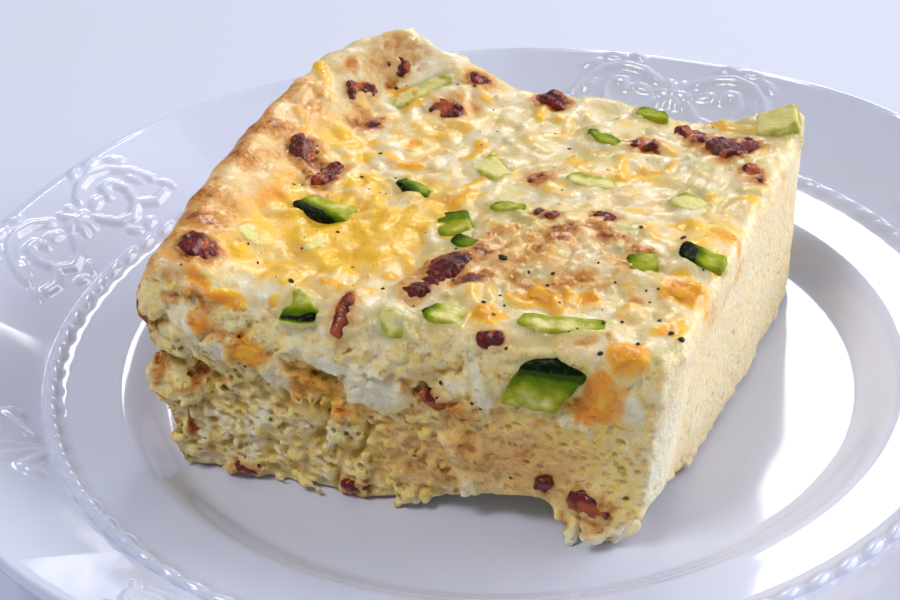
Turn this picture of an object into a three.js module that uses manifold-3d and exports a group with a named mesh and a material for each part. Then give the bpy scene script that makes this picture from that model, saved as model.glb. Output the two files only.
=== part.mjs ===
// A cut square of egg bake on its round embossed plate.
// Units are millimetres and +Z is up. The origin is the middle of the plate's foot ring, at the table.
// +X runs along the slice's front cut face, from the side that touched the pan to the near corner,
// and +Y runs from that front face to the back.

import * as THREE from 'three';
import { ImprovedNoise } from 'three/addons/math/ImprovedNoise.js';
import { mergeVertices } from 'three/addons/utils/BufferGeometryUtils.js';
import Module from 'manifold-3d';

// Plate
const PLATE_RADIUS = 105;
const PLATE_RIM_HEIGHT = 23.9;
const PLATE_THICKNESS = 3.6;
const PLATE_SEGMENTS = 64;
const WELL_RADIUS = 63.5;
const WELL_TOP = 6.0;
const WELL_WALL_RADIUS = 70.6;
const WELL_WALL_TOP = 11.4;
const BAND_RADIUS = 81.5;
const BAND_TOP = 12.7;
const ROPE_WIDTH = 2.6;
const ROPE_HEIGHT = 1.1;
const RIM_START_TOP = 13.1;
const FOOT_INNER_RADIUS = 50;
const FOOT_OUTER_RADIUS = 54.5;
const FOOT_RECESS = 2.2;
const SCALLOPS = 8;
const SCALLOP_DEPTH = 1.4;
const SCALLOP_TURN = THREE.MathUtils.degToRad(62);

// Slice
const SEAT_GAP = 0.3;
const SLICE_FRONT = -43.5;
const SLICE_BACK = 43.5;
const SLICE_HEIGHT = 35;
const PAN_SIDE_SLOPE = 4.2;
const FRONT_EDGE_ROUND = 8;
const PAN_EDGE_ROUND = 7;
const CUT_EDGE_ROUND = 1.8;
const SLICE_STEPS = [25, 25, 9];

// Toppings stand a little proud of the egg, in pockets with this much room round them
const POCKET_GAP = 0.3;

const noise = new ImprovedNoise();
const lerp = THREE.MathUtils.lerp;
const clamp = THREE.MathUtils.clamp;

function ramp(value, low, high) {
  return THREE.MathUtils.smoothstep(value, low, high);
}

function bell(value, middle, width) {
  return Math.exp(-(((value - middle) / width) ** 2));
}

// Height or reach read off along a few named stations, straight between them
function along(value, stations) {
  const last = stations.length - 1;
  if (value <= stations[0][0]) return stations[0][1];
  for (let i = 0; i < last; i++) {
    const [a, from] = stations[i];
    const [b, to] = stations[i + 1];
    if (value <= b) return lerp(from, to, (value - a) / (b - a));
  }
  return stations[last][1];
}

// Outermost reach of the browned side that touched the pan, at a distance y along it
function panSideX(y) {
  return along(y, [
    [-44, -49.7],
    [-20, -52.3],
    [0, -53.4],
    [20, -52.2],
    [32, -49.5],
    [39, -44.5],
    [43.5, -36.8],
  ]);
}

// Top edge of the right cut face
function cutSideX(y) {
  return along(y, [[-44, 38.2], [-37, 41.2], [-14, 42.3], [8, 43.6], [33, 45.4], [43.5, 45]]);
}

// Height of the baked top above the bottom of the slice, before its edges are rounded
function topHeight(x, y) {
  const rimHeight = along(y, [[-44, 39.3], [-40, 40.2], [-20, 41.3], [0, 42.3], [20, 43], [40, 46]]);
  const fromPan = x - panSideX(y);
  let height = SLICE_HEIGHT + (rimHeight - SLICE_HEIGHT) * bell(fromPan, 5, 8.5);
  height += 5.5 * bell(x, -22.5, 9) * bell(y, 42, 12);
  height -= 2.5 * bell(x, 24, 9) * bell(y, 42, 8);
  height += 1.0 * bell(x, 5, 6) * bell(y, 42, 8);
  height += 1.8 * bell(x, 45, 7) * bell(y, 44, 8);
  // Puffed hump on the near half of the top, with its crest running from left to right
  const crestY = along(x, [[0, -12], [12, -9], [26, -10], [38, -11]]);
  const reach = y < crestY ? 16 : 6.5;
  height += 2.8 * bell(y, crestY, reach) * ramp(x, -6, 4) * (1 - 0.35 * ramp(x, 34, 42));
  height += 0.75 * noise.noise(x * 0.16, y * 0.16, 3.3) + 0.5 * noise.noise(x * 0.37, y * 0.37, 8.1);
  return height;
}

// How far a rounded edge has dropped at a distance inside that edge
function edgeDrop(inside, radius) {
  const left = radius - clamp(inside, 0, radius);
  return radius - Math.sqrt(radius * radius - left * left);
}

function roundedTop(x, y) {
  const frontRound = FRONT_EDGE_ROUND
    * along(x, [[-48, 0.8], [-40, 1], [-20, 0.9], [-8, 0.75], [6, 0.45], [20, 0.3], [38, 0.2]]);
  const panRound = PAN_EDGE_ROUND * along(y, [[-44, 0.5], [-34, 0.7], [-20, 1]]);
  return topHeight(x, y) - Math.max(
    edgeDrop(y - SLICE_FRONT, frontRound),
    edgeDrop(SLICE_BACK - y, CUT_EDGE_ROUND),
    edgeDrop(x - panSideX(y), panRound),
    edgeDrop(cutSideX(y) - x, CUT_EDGE_ROUND),
  );
}

// Underside: flat on the plate, but lifted behind the near corner, where only a torn foot reaches down
function undersideHeight(x, y) {
  const liftAlong = along(x, [[-6, 0], [0, 1.5], [6.5, 3.5], [15, 5], [22, 6], [38, 6]]);
  const lift = liftAlong * clamp((-24 - y) / 12, 0, 1);
  const foot = ramp(x, 20, 23.5) * (1 - ramp(x, 34.5, 37.5)) * (1 - ramp(y, -39, -34));
  return lift * (1 - foot);
}

// Curds and torn lumps that stand out of the front cut face: place along x, height, size and reach
const FRONT_CURDS = [
  { x: -8.5, height: 25.5, wide: 5.5, tall: 4.5, out: 2.2 },
  { x: -17.5, height: 27, wide: 3.5, tall: 2.2, out: 1.2 },
  { x: -27.6, height: 23.5, wide: 3.2, tall: 2.6, out: 1.4 },
  { x: 1.5, height: 25, wide: 3, tall: 2.4, out: 1.0 },
  { x: 5.5, height: 12, wide: 1.8, tall: 6, out: 1.3 },
  { x: -38, height: 31, wide: 3.4, tall: 3.4, out: 1.0 },
  { x: 29.5, height: 3, wide: 5.5, tall: 4.5, out: 2.8 },
];

function frontReach(x, height) {
  let out = 0;
  for (const curd of FRONT_CURDS) {
    out += curd.out * bell(x, curd.x, curd.wide) * bell(height, curd.height, curd.tall);
  }
  out += 0.8 * noise.noise(x * 0.24, height * 0.3, 1.7) + 0.5 * noise.noise(x * 0.55, height * 0.6, 5.2);
  out -= 1.3 * bell(height, 20.5, 2.2) * (1 - ramp(x, -12, 0));
  return -out;
}

function panSideReach(y, height) {
  let out = PAN_SIDE_SLOPE * (height / SLICE_HEIGHT - 1);
  const nearFront = 1 - ramp(y, -42, -31);
  out += 3.9 * nearFront * bell(height, 16.5, 3.6);
  out -= 1.6 * nearFront * bell(height, 23.5, 2.6);
  out += 1.3 * nearFront * bell(height, 30.5, 3);
  out += 0.5 * noise.noise(y * 0.12, height * 0.14, 2.2);
  return -out;
}

function cutSideReach(y, height) {
  const undercut = along(y, [[-44, 3], [-36, 4.4], [-30, 5], [-20, 3.6], [-7, 2.4], [3, 1.3], [44, 1]]);
  let out = undercut * (height / SLICE_HEIGHT - 1);
  out += 0.35 * noise.noise(y * 0.2, height * 0.22, 6.4);
  return out;
}

function backReach(x, height) {
  return 0.5 * noise.noise(x * 0.2, height * 0.25, 9.6) + 0.3 * noise.noise(x * 0.5, height * 0.5, 4.4);
}

// Steps that lie closer together near both ends, where the edges are rounded
function spread(t) {
  return t - 0.5 * Math.sin(2 * Math.PI * t) / (2 * Math.PI);
}

// Maps a point of the unit box onto the slice, all in one closed skin
function slicePoint(u, v, w) {
  const y = lerp(SLICE_FRONT, SLICE_BACK, spread(v));
  const x = lerp(panSideX(y), cutSideX(y), spread(u));
  const low = undersideHeight(x, y);
  const height = lerp(low, roundedTop(x, y), w);
  const nearPan = (1 - u) ** 6;
  const nearCut = u ** 6;
  const nearFront = (1 - v) ** 6;
  const nearBack = v ** 6;
  return new THREE.Vector3(
    x + nearPan * panSideReach(y, height) + nearCut * cutSideReach(y, height),
    y + nearFront * frontReach(x, height) + nearBack * backReach(x, height),
    WELL_TOP + SEAT_GAP + height,
  );
}

// A box whose points are moved by a function of their place in the unit box
function shapedBox(steps, place) {
  const geometry = new THREE.BoxGeometry(1, 1, 1, ...steps);
  const points = geometry.getAttribute('position');
  for (let i = 0; i < points.count; i++) {
    const moved = place(points.getX(i) + 0.5, points.getY(i) + 0.5, points.getZ(i) + 0.5);
    points.setXYZ(i, moved.x, moved.y, moved.z);
  }
  return weld(geometry);
}

function weld(geometry) {
  geometry.deleteAttribute('normal');
  geometry.deleteAttribute('uv');
  return mergeVertices(geometry, 1e-4);
}

// Plate

function plateProfile() {
  const top = [
    [0, WELL_TOP],
    [WELL_RADIUS * 0.55, WELL_TOP],
    [WELL_RADIUS, WELL_TOP],
  ];
  // The wall of the well is a quarter wave between the flat well and the smooth band
  for (const t of [0.25, 0.5, 0.75, 1]) {
    const rise = (1 - Math.cos(Math.PI * t)) / 2;
    top.push([lerp(WELL_RADIUS, WELL_WALL_RADIUS, t), lerp(WELL_TOP, WELL_WALL_TOP, rise)]);
  }
  top.push([BAND_RADIUS, BAND_TOP]);
  top.push([BAND_RADIUS + ROPE_WIDTH * 0.25, BAND_TOP + ROPE_HEIGHT]);
  top.push([BAND_RADIUS + ROPE_WIDTH * 0.75, BAND_TOP + ROPE_HEIGHT]);
  top.push([BAND_RADIUS + ROPE_WIDTH, RIM_START_TOP]);
  const edgeRound = PLATE_THICKNESS * 0.3;
  for (const t of [0.35, 0.7, 1]) {
    const r = lerp(BAND_RADIUS + ROPE_WIDTH, PLATE_RADIUS - edgeRound, t);
    top.push([r, lerp(RIM_START_TOP, PLATE_RIM_HEIGHT, t)]);
  }
  const under = [
    [PLATE_RADIUS, PLATE_RIM_HEIGHT - edgeRound],
    [PLATE_RADIUS - edgeRound * 0.4, PLATE_RIM_HEIGHT - PLATE_THICKNESS * 0.75],
    [BAND_RADIUS + ROPE_WIDTH, RIM_START_TOP - PLATE_THICKNESS],
    [WELL_WALL_RADIUS + 3, WELL_WALL_TOP - PLATE_THICKNESS],
    [WELL_RADIUS + 2, FOOT_RECESS + 0.6],
    [FOOT_OUTER_RADIUS + 1.2, FOOT_RECESS],
    [FOOT_OUTER_RADIUS, 0],
    [FOOT_INNER_RADIUS, 0],
    [FOOT_INNER_RADIUS - 1.2, FOOT_RECESS],
    [0, FOOT_RECESS],
  ];
  return top.concat(under).reverse().map(([r, z]) => new THREE.Vector2(r, z));
}

function plateGeometry() {
  const geometry = new THREE.LatheGeometry(plateProfile(), PLATE_SEGMENTS);
  geometry.rotateX(Math.PI / 2);
  const points = geometry.getAttribute('position');
  for (let i = 0; i < points.count; i++) {
    const x = points.getX(i);
    const y = points.getY(i);
    const r = Math.hypot(x, y);
    const onRim = clamp((r - BAND_RADIUS) / (PLATE_RADIUS - BAND_RADIUS), 0, 1);
    const wave = Math.cos(SCALLOPS * (Math.atan2(y, x) - SCALLOP_TURN));
    const scale = r > 0 ? 1 - (SCALLOP_DEPTH * (1 - wave) / 2 * onRim * onRim) / r : 1;
    points.setXYZ(i, x * scale, y * scale, points.getZ(i));
  }
  return weld(geometry);
}

// Toppings

const UP = new THREE.Vector3(0, 0, 1);
const SLOPE_STEP = 1.5;

// Frame of a topping that lies on the baked top: x and y in plan, turned about the surface's own normal
function onTop(x, y, turn) {
  const slopeX = (roundedTop(x + SLOPE_STEP, y) - roundedTop(x - SLOPE_STEP, y)) / (2 * SLOPE_STEP);
  const slopeY = (roundedTop(x, y + SLOPE_STEP) - roundedTop(x, y - SLOPE_STEP)) / (2 * SLOPE_STEP);
  const normal = new THREE.Vector3(-slopeX, -slopeY, 1).normalize();
  const spin = new THREE.Quaternion().setFromAxisAngle(UP, THREE.MathUtils.degToRad(turn));
  const lean = new THREE.Quaternion().setFromUnitVectors(UP, normal);
  const place = new THREE.Vector3(x, y, WELL_TOP + SEAT_GAP + roundedTop(x, y));
  return { place, normal, rotation: lean.multiply(spin) };
}

// Frame of a topping cut through by the front face: x along the face and height above the slice's bottom
function onFront(x, height, turn) {
  const normal = new THREE.Vector3(0, -1, 0);
  const spin = new THREE.Quaternion().setFromAxisAngle(UP, THREE.MathUtils.degToRad(turn));
  const face = new THREE.Quaternion().setFromAxisAngle(new THREE.Vector3(1, 0, 0), Math.PI / 2);
  const place = new THREE.Vector3(x, SLICE_FRONT + frontReach(x, height), WELL_TOP + SEAT_GAP + height);
  return { place, normal, rotation: face.multiply(spin) };
}

// A chunk of courgette: curved skin along its near side, flesh behind, narrower and shifted at the far side
function courgetteChunk({ long, wide, thick, taper = 0.8, slant = 0 }) {
  const half = long / 2;
  const skinRound = Math.min(long * 0.16, wide * 0.35);
  const outline = new THREE.Shape();
  outline.moveTo(-half, -wide / 2 + skinRound);
  outline.quadraticCurveTo(0, -wide / 2 - skinRound, half, -wide / 2 + skinRound);
  outline.lineTo(half * taper + slant, wide / 2);
  outline.lineTo(-half * taper + slant, wide / 2);
  outline.closePath();
  const settings = { depth: thick, steps: 1, curveSegments: 5, bevelEnabled: false };
  return weld(new THREE.ExtrudeGeometry(outline, settings).translate(0, 0, -thick / 2));
}

// A bit of bacon: a slab with ragged ends and a wave along its length
function baconBit({ long, wide, thick, seed }) {
  return shapedBox([3, 2, 1], (u, v, w) => {
    const lengthwise = u - 0.5;
    const across = v - 0.5;
    const ragged = 1 + 0.3 * noise.noise(u * 3 + seed, v * 3, w * 2);
    const narrow = 1 - 0.9 * lengthwise * lengthwise;
    const wave = 0.16 * thick * Math.sin(7 * lengthwise + seed);
    return new THREE.Vector3(
      long * lengthwise * ragged * (1 - 0.5 * across * across),
      wide * across * ragged * narrow,
      thick * (w - 0.5) * (1 - 0.9 * across * across) + wave,
    );
  });
}

// A lump of melted cheese: a box drawn in at its corners
function cheeseLump({ long, wide, thick, seed }) {
  return shapedBox([2, 2, 2], (u, v, w) => {
    const point = new THREE.Vector3(u - 0.5, v - 0.5, w - 0.5);
    const reach = point.length();
    const soft = 1 - 0.55 * Math.max(0, reach - 0.5) + 0.1 * noise.noise(u * 2 + seed, v * 2, w * 2);
    return new THREE.Vector3(long * point.x * soft, wide * point.y * soft, thick * point.z * soft);
  });
}

// Where each topping lies: place on its face, turn in degrees, and its length, width and thickness
const COURGETTE = [
  { at: onTop(-29.3, -11.6, -13), long: 12, wide: 6.5, thick: 4, proud: 1.2 },
  { at: onTop(-21.3, -40.2, 11), long: 7, wide: 6.5, thick: 3.6, taper: 0.2, slant: -1, proud: 0.9 },
  { at: onTop(-16.8, 0.2, -30), long: 9, wide: 4, thick: 3.4, proud: 0.8 },
  { at: onTop(-5.7, -10.6, -66), long: 9.5, wide: 6.2, thick: 4.4, taper: 0.95, slant: 1, proud: 1.3 },
  { at: onTop(-1.2, -18, -25), long: 5, wide: 3, thick: 3, proud: 0.7 },
  { at: onTop(2.2, -38.2, -14), long: 7.5, wide: 5, thick: 3.4, proud: 0.9 },
  { at: onTop(2.2, -5.4, -32), long: 8.5, wide: 4, thick: 3.6, proud: 0.9 },
  { at: onTop(-6.2, 10.8, -52), long: 12, wide: 5, thick: 3.4, proud: 0.5 },
  { at: onTop(10.7, 26.4, -44), long: 9, wide: 4, thick: 3.4, proud: 0.8 },
  { at: onTop(29.3, -18.7, 20), long: 5.5, wide: 5, thick: 3.2, proud: 0.7 },
  { at: onTop(38, -15, -8), long: 8, wide: 5, thick: 4, taper: 0.9, proud: 1.1 },
  { at: onTop(31.8, 5.2, -30), long: 8.5, wide: 5, thick: 3.4, proud: 0.7 },
  { at: onTop(-27.2, 33, 40), long: 14, wide: 4.2, thick: 3.4, proud: 0.8 },
  { at: onTop(13.2, 9.2, -8), long: 9.5, wide: 4.5, thick: 3.4, proud: 0.6 },
  { at: onTop(41, 37.8, 12), long: 7.5, wide: 6.5, thick: 5, taper: 1, proud: 1.6 },
  { at: onTop(16.6, 40, 4), long: 6.5, wide: 4.4, thick: 4, proud: 1 },
  { at: onTop(21.2, -37.2, 5), long: 14.5, wide: 4.4, thick: 3.2, taper: 0.9, proud: 0.7 },
  { at: onTop(-5.6, -41, -18), long: 7, wide: 4, thick: 3.2, proud: 0.7 },
  { at: onTop(-36.5, -25, 0), long: 6.5, wide: 4.5, thick: 3.2, proud: 0.6 },
  { at: onTop(-26.8, -22.6, -49), long: 11, wide: 3.8, thick: 3.2, proud: 0.6 },
  { at: onFront(21.6, 28.8, 178), long: 10.4, wide: 9.2, thick: 4.2, taper: 0.85, slant: 4, proud: 1.3 },
];

const BACON = [
  { at: onTop(-3, -27.8, 64), long: 14.5, wide: 7, thick: 3.4, proud: 1.5 },
  { at: onTop(-13.9, -40.2, 82), long: 8.5, wide: 3, thick: 3.4, proud: 0.9 },
  { at: onTop(-41.4, -34.8, -10), long: 6.5, wide: 5.2, thick: 3, proud: 1 },
  { at: onTop(-39.4, 4.6, 20), long: 6.4, wide: 6, thick: 3, proud: 1 },
  { at: onTop(-33.1, 0.2, 74), long: 8.5, wide: 4.4, thick: 3, proud: 1 },
  { at: onTop(-37.3, 27.7, 30), long: 6, wide: 5, thick: 3, proud: 0.9 },
  { at: onTop(-33, 36.6, 15), long: 5, wide: 4, thick: 2.6, proud: 0.8 },
  { at: onTop(-20.3, 28.6, -20), long: 6, wide: 5, thick: 2.8, proud: 0.8 },
  { at: onTop(-2.6, 39.2, -22), long: 7.2, wide: 4.6, thick: 4, proud: 1.5 },
  { at: onTop(34.8, 28.6, 40), long: 10, wide: 6.4, thick: 3.4, proud: 1.1 },
  { at: onTop(40, 19, -70), long: 7.5, wide: 3.4, thick: 3, proud: 0.9 },
  { at: onTop(11, -42, 10), long: 4.6, wide: 3, thick: 2.8, proud: 0.8 },
  { at: onTop(-34, 20.6, 10), long: 6.5, wide: 4, thick: 2.8, proud: 0.7 },
  { at: onTop(3.8, 9, 25), long: 4.2, wide: 3.2, thick: 2.6, proud: 0.8 },
  { at: onTop(19.6, -5.2, -45), long: 5.6, wide: 3.2, thick: 2.8, proud: 0.8 },
  { at: onTop(-17, 38.6, 15), long: 4.4, wide: 3.4, thick: 2.6, proud: 0.7 },
  { at: onTop(18.4, 25.8, -15), long: 5.2, wide: 3.6, thick: 2.8, proud: 0.7 },
  { at: onTop(26.2, 32.2, -42), long: 7.5, wide: 4, thick: 2.8, proud: 0.8 },
  { at: onTop(10, -7.2, -30), long: 4.6, wide: 2.8, thick: 2.6, proud: 0.7 },
  { at: onFront(19.6, 9.4, 60), long: 4, wide: 2.6, thick: 2.6, proud: 0.7 },
  { at: onFront(27.3, 7.2, -15), long: 7.2, wide: 5, thick: 3.4, proud: 0.9 },
  { at: onFront(-33.4, 1.9, 0), long: 5, wide: 2, thick: 2.4, proud: 0.6 },
  { at: onFront(-13.4, 2.3, 5), long: 5, wide: 2.2, thick: 2.4, proud: 0.5 },
  { at: onFront(1.6, 22.8, -10), long: 4.4, wide: 2.4, thick: 2.4, proud: 0.6 },
];

const CHEESE = [
  { at: onTop(40.4, -5, 20), long: 3.6, wide: 3.2, thick: 3.2, proud: 1 },
  { at: onTop(32.6, -41.6, 15), long: 4.4, wide: 3.6, thick: 3.4, proud: 0.8 },
  { at: onTop(16.5, -29.2, -12), long: 6.5, wide: 3.2, thick: 2.8, proud: 0.6 },
  { at: onTop(8.8, -36.6, -20), long: 3.6, wide: 2.8, thick: 2.6, proud: 0.6 },
  { at: onTop(37.2, -23.6, -10), long: 6, wide: 4, thick: 2.8, proud: 0.7 },
  { at: onFront(30.2, 28, 80), long: 6.5, wide: 4.6, thick: 3.6, proud: 0.8 },
  { at: onFront(-30.2, 26.3, -8), long: 6.4, wide: 3.4, thick: 3, proud: 0.8 },
];

const MATERIALS = {
  porcelain: new THREE.MeshStandardMaterial({ color: 0xe6e6f0, roughness: 0.12, metalness: 0 }),
  egg: new THREE.MeshStandardMaterial({ color: 0xf0d98a, roughness: 0.5, metalness: 0 }),
  courgette: new THREE.MeshStandardMaterial({ color: 0x7fa045, roughness: 0.4, metalness: 0 }),
  bacon: new THREE.MeshStandardMaterial({ color: 0x7a2c1c, roughness: 0.35, metalness: 0 }),
  cheese: new THREE.MeshStandardMaterial({ color: 0xf2a23a, roughness: 0.4, metalness: 0 }),
};

function namedMesh(name, geometry, material) {
  const mesh = new THREE.Mesh(geometry, material);
  mesh.name = name;
  return mesh;
}

// A topping's centre lies below the surface by half its thickness, less what stands proud
function placedTopping(name, geometry, piece, material) {
  const mesh = namedMesh(name, geometry, material);
  mesh.position.copy(piece.at.place).addScaledVector(piece.at.normal, piece.proud - piece.thick / 2);
  mesh.quaternion.copy(piece.at.rotation);
  mesh.updateMatrixWorld();
  return mesh;
}

// The pocket that a topping lies in has room all round.
// It is the chunk's own outline, or a plain box for a small bit.
function pocketFor(mesh) {
  mesh.geometry.computeBoundingBox();
  const box = mesh.geometry.boundingBox;
  const size = box.getSize(new THREE.Vector3());
  const grown = size.clone().addScalar(2 * POCKET_GAP);
  if (mesh.material === MATERIALS.courgette) {
    const outline = mesh.geometry.clone().scale(grown.x / size.x, grown.y / size.y, grown.z / size.z);
    return toSolid(outline.applyMatrix4(mesh.matrixWorld));
  }
  const middle = box.getCenter(new THREE.Vector3());
  const plain = weld(new THREE.BoxGeometry(grown.x, grown.y, grown.z));
  return toSolid(plain.translate(middle.x, middle.y, middle.z).applyMatrix4(mesh.matrixWorld));
}

const wasm = await Module();
wasm.setup();

function toSolid(geometry) {
  const vertProperties = new Float32Array(geometry.getAttribute('position').array);
  const triVerts = new Uint32Array(geometry.getIndex().array);
  return new wasm.Manifold(new wasm.Mesh({ numProp: 3, vertProperties, triVerts }));
}

function toGeometry(solid) {
  const mesh = solid.getMesh();
  const geometry = new THREE.BufferGeometry();
  geometry.setAttribute('position', new THREE.BufferAttribute(mesh.vertProperties, 3));
  geometry.setIndex(new THREE.BufferAttribute(mesh.triVerts, 1));
  return geometry;
}

function largestPiece(solid) {
  return solid.decompose().reduce((best, piece) => (piece.volume() > best.volume() ? piece : best));
}

function sliceWithPockets(toppings) {
  let slice = toSolid(shapedBox(SLICE_STEPS, slicePoint));
  for (const topping of toppings) {
    slice = slice.subtract(pocketFor(topping));
  }
  return toGeometry(largestPiece(slice));
}

// Every piece of one kind, numbered from 1; the piece's own number seeds its ragged edges
function allOf(kind, pieces, shape, material) {
  return pieces.map((piece, i) => {
    const geometry = shape({ ...piece, seed: i });
    return placedTopping(`${kind}_${i + 1}`, geometry, piece, material);
  });
}

const toppings = [
  ...allOf('courgette', COURGETTE, courgetteChunk, MATERIALS.courgette),
  ...allOf('bacon', BACON, baconBit, MATERIALS.bacon),
  ...allOf('cheese', CHEESE, cheeseLump, MATERIALS.cheese),
];

const eggBake = new THREE.Group();
eggBake.add(namedMesh('plate', plateGeometry(), MATERIALS.porcelain));
eggBake.add(namedMesh('egg_slice', sliceWithPockets(toppings), MATERIALS.egg));
eggBake.add(...toppings);

export default eggBake;
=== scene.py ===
"""Looks of a cut square of egg bake on its embossed plate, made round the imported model.

Lengths are millimetres until a mesh is made, and Blender's own unit is the metre.
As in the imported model, x runs along the slice's front cut face from the browned pan side to the near
corner, y from that face to the back, and z up from the table.
"""

import itertools
import math

import bpy
import numpy as np
from mathutils import Matrix, Vector
from mathutils.bvhtree import BVHTree


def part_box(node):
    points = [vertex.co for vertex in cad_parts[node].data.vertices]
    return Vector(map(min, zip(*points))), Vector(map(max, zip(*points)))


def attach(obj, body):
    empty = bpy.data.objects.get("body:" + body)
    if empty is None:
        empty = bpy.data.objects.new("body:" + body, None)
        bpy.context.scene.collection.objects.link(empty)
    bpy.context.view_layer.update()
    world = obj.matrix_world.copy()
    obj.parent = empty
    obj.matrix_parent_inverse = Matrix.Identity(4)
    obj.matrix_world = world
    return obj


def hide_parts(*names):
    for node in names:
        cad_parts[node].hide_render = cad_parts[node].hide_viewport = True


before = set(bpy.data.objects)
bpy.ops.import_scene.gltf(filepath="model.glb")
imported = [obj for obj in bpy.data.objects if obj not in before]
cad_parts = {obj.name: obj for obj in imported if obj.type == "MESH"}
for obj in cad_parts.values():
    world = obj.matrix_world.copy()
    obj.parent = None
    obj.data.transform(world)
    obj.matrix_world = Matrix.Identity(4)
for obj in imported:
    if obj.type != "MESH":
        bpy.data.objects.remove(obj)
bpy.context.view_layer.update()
SCENE = bpy.context.scene
MM = 0.001

# Camera, solved from the plate's circles and the slice's edges
CAMERA_PLACE = (87.43, -261.29, 193.03)
CAMERA_RIGHT = (0.9446, 0.3247, -0.0472)
CAMERA_UP = (-0.1342, 0.5135, 0.8475)
CAMERA_BACK = (0.2994, -0.7943, 0.5286)
CAMERA_LENS = 72
CAMERA_SENSOR = 36

# How finely things are made
SOLID_PITCH = 0.6
DISTANCE_PITCH = 1.0
EGG_PITCH = 0.4
TOPPING_PITCH = 0.3
SKIN_REACH = 4.0

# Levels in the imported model. The slice is cut off just over the plate.
SLICE_BOTTOM = 6.3
PLATE_TOP = 6.05

TOPPINGS = [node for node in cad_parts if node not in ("plate", "egg_slice")]
ON_FRONT = {
    "courgette_21", "bacon_20", "bacon_21", "bacon_22", "bacon_23", "bacon_24", "cheese_6", "cheese_7",
}

# A mask's value where nothing is painted: too low for a ragged edge to bring the tone up
UNPAINTED = -0.6


def smooth(low, high, value):
    """0 below low, 1 above high, and a smooth step between them."""
    t = np.clip((value - low) / (high - low), 0, 1)
    return t * t * (3 - 2 * t)


def mix(a, b, share):
    """a where the share is 0, b where it is 1, and straight between them."""
    return a + (b - a) * share


# Lattices: values on a regular block of points

class Lattice:
    """A regular block of points between two corners, with the coordinates along each axis."""

    def __init__(self, low, high, pitch):
        self.pitch = pitch
        self.axes = [np.arange(a, b + pitch, pitch, dtype=np.float32) for a, b in zip(low, high)]
        self.shape = tuple(len(axis) for axis in self.axes)

    def spread(self):
        """x, y and z, each shaped to broadcast over the block."""
        x, y, z = self.axes
        return x[:, None, None], y[None, :, None], z[None, None, :]

    def place(self, cells):
        return np.stack([axis[index] for axis, index in zip(self.axes, cells)], axis=1)

    def window(self, low, high):
        """The stretch of the block between two corners, as a slice along each axis."""
        return tuple(slice(*np.searchsorted(axis, (a, b))) for axis, a, b in zip(self.axes, low, high))

    def within(self, window):
        """x, y and z of a window, each shaped to broadcast over it."""
        x, y, z = (axis[part] for axis, part in zip(self.axes, window))
        return x[:, None, None], y[None, :, None], z[None, None, :]


def reading_weights(source, target):
    """Catmull-Rom weights that read values kept at evenly spaced places at other places."""
    step = source[1] - source[0]
    place = (target - source[0]) / step
    base = np.clip(np.floor(place).astype(int), 0, len(source) - 2)
    t = np.clip(place - base, 0, 1)
    weights = np.zeros((len(target), len(source)), np.float32)
    rows = np.arange(len(target))
    cubic = (
        (-1, -0.5 * t + t**2 - 0.5 * t**3),
        (0, 1 - 2.5 * t**2 + 1.5 * t**3),
        (1, 0.5 * t + 2 * t**2 - 1.5 * t**3),
        (2, -0.5 * t**2 + 0.5 * t**3),
    )
    for offset, weight in cubic:
        np.add.at(weights, (rows, np.clip(base + offset, 0, len(source) - 1)), weight)
    return weights


def resampled(values, source_axes, target_axes):
    """A lattice's values read at the places of another lattice."""
    for axis, (source, target) in enumerate(zip(source_axes, target_axes)):
        weights = reading_weights(source, target)
        values = np.moveaxis(np.tensordot(weights, values, axes=(1, axis)), 0, axis)
    return np.ascontiguousarray(values, dtype=np.float32)


def grain(lattice, size, seed):
    """Smooth random values from about -1 to 1 on a lattice, in lumps of the given size along each axis."""
    sizes = np.broadcast_to(size, 3)
    rng = np.random.default_rng(seed)
    axes = [
        np.arange(axis[0] - s * (1 + rng.random()), axis[-1] + 2 * s, s, dtype=np.float32)
        for axis, s in zip(lattice.axes, sizes)
    ]
    knots = rng.uniform(-1, 1, [len(axis) for axis in axes]).astype(np.float32)
    return resampled(knots, axes, lattice.axes)


# Large odd numbers that scramble a place and a seed into evenly spread values of 32 bits
SCRAMBLE_X, SCRAMBLE_Y, SCRAMBLE_Z, SCRAMBLE_SEED = 374761393, 668265263, 2147483629, 974634777
SCRAMBLE_AGAIN = 1274126177
WORD = 0xFFFFFFFF


def grain_at(points, size, seed):
    """Smooth random values from -1 to 1 at single points, in lumps of the given size."""
    place = points / np.broadcast_to(size, 3)
    base = np.floor(place).astype(np.int64)
    t = place - base
    t = t * t * (3 - 2 * t)
    total = np.zeros(len(points))
    for corner in itertools.product((0, 1), repeat=3):
        x, y, z = (base + corner).T
        mixed = (x * SCRAMBLE_X + y * SCRAMBLE_Y + z * SCRAMBLE_Z + seed * SCRAMBLE_SEED) & WORD
        mixed = ((mixed ^ (mixed >> 13)) * SCRAMBLE_AGAIN) & WORD
        mixed = mixed ^ (mixed >> 16)
        weight = np.prod(np.where(corner, t, 1 - t), axis=1)
        total += weight * (mixed / 2**31 - 1)
    return total


def read_at(values, lattice, points):
    """A lattice's values at single points, straight between its own points."""
    place = [(p - axis[0]) / lattice.pitch for p, axis in zip(points.T, lattice.axes)]
    base = [np.clip(np.floor(p).astype(int), 0, n - 2) for p, n in zip(place, lattice.shape)]
    t = [np.clip(p - b, 0, 1) for p, b in zip(place, base)]
    total = np.zeros(len(points))
    for corner in itertools.product((0, 1), repeat=3):
        weight = 1.0
        for share, side in zip(t, corner):
            weight = weight * (share if side else 1 - share)
        total += weight * values[tuple(b + side for b, side in zip(base, corner))]
    return total


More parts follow.
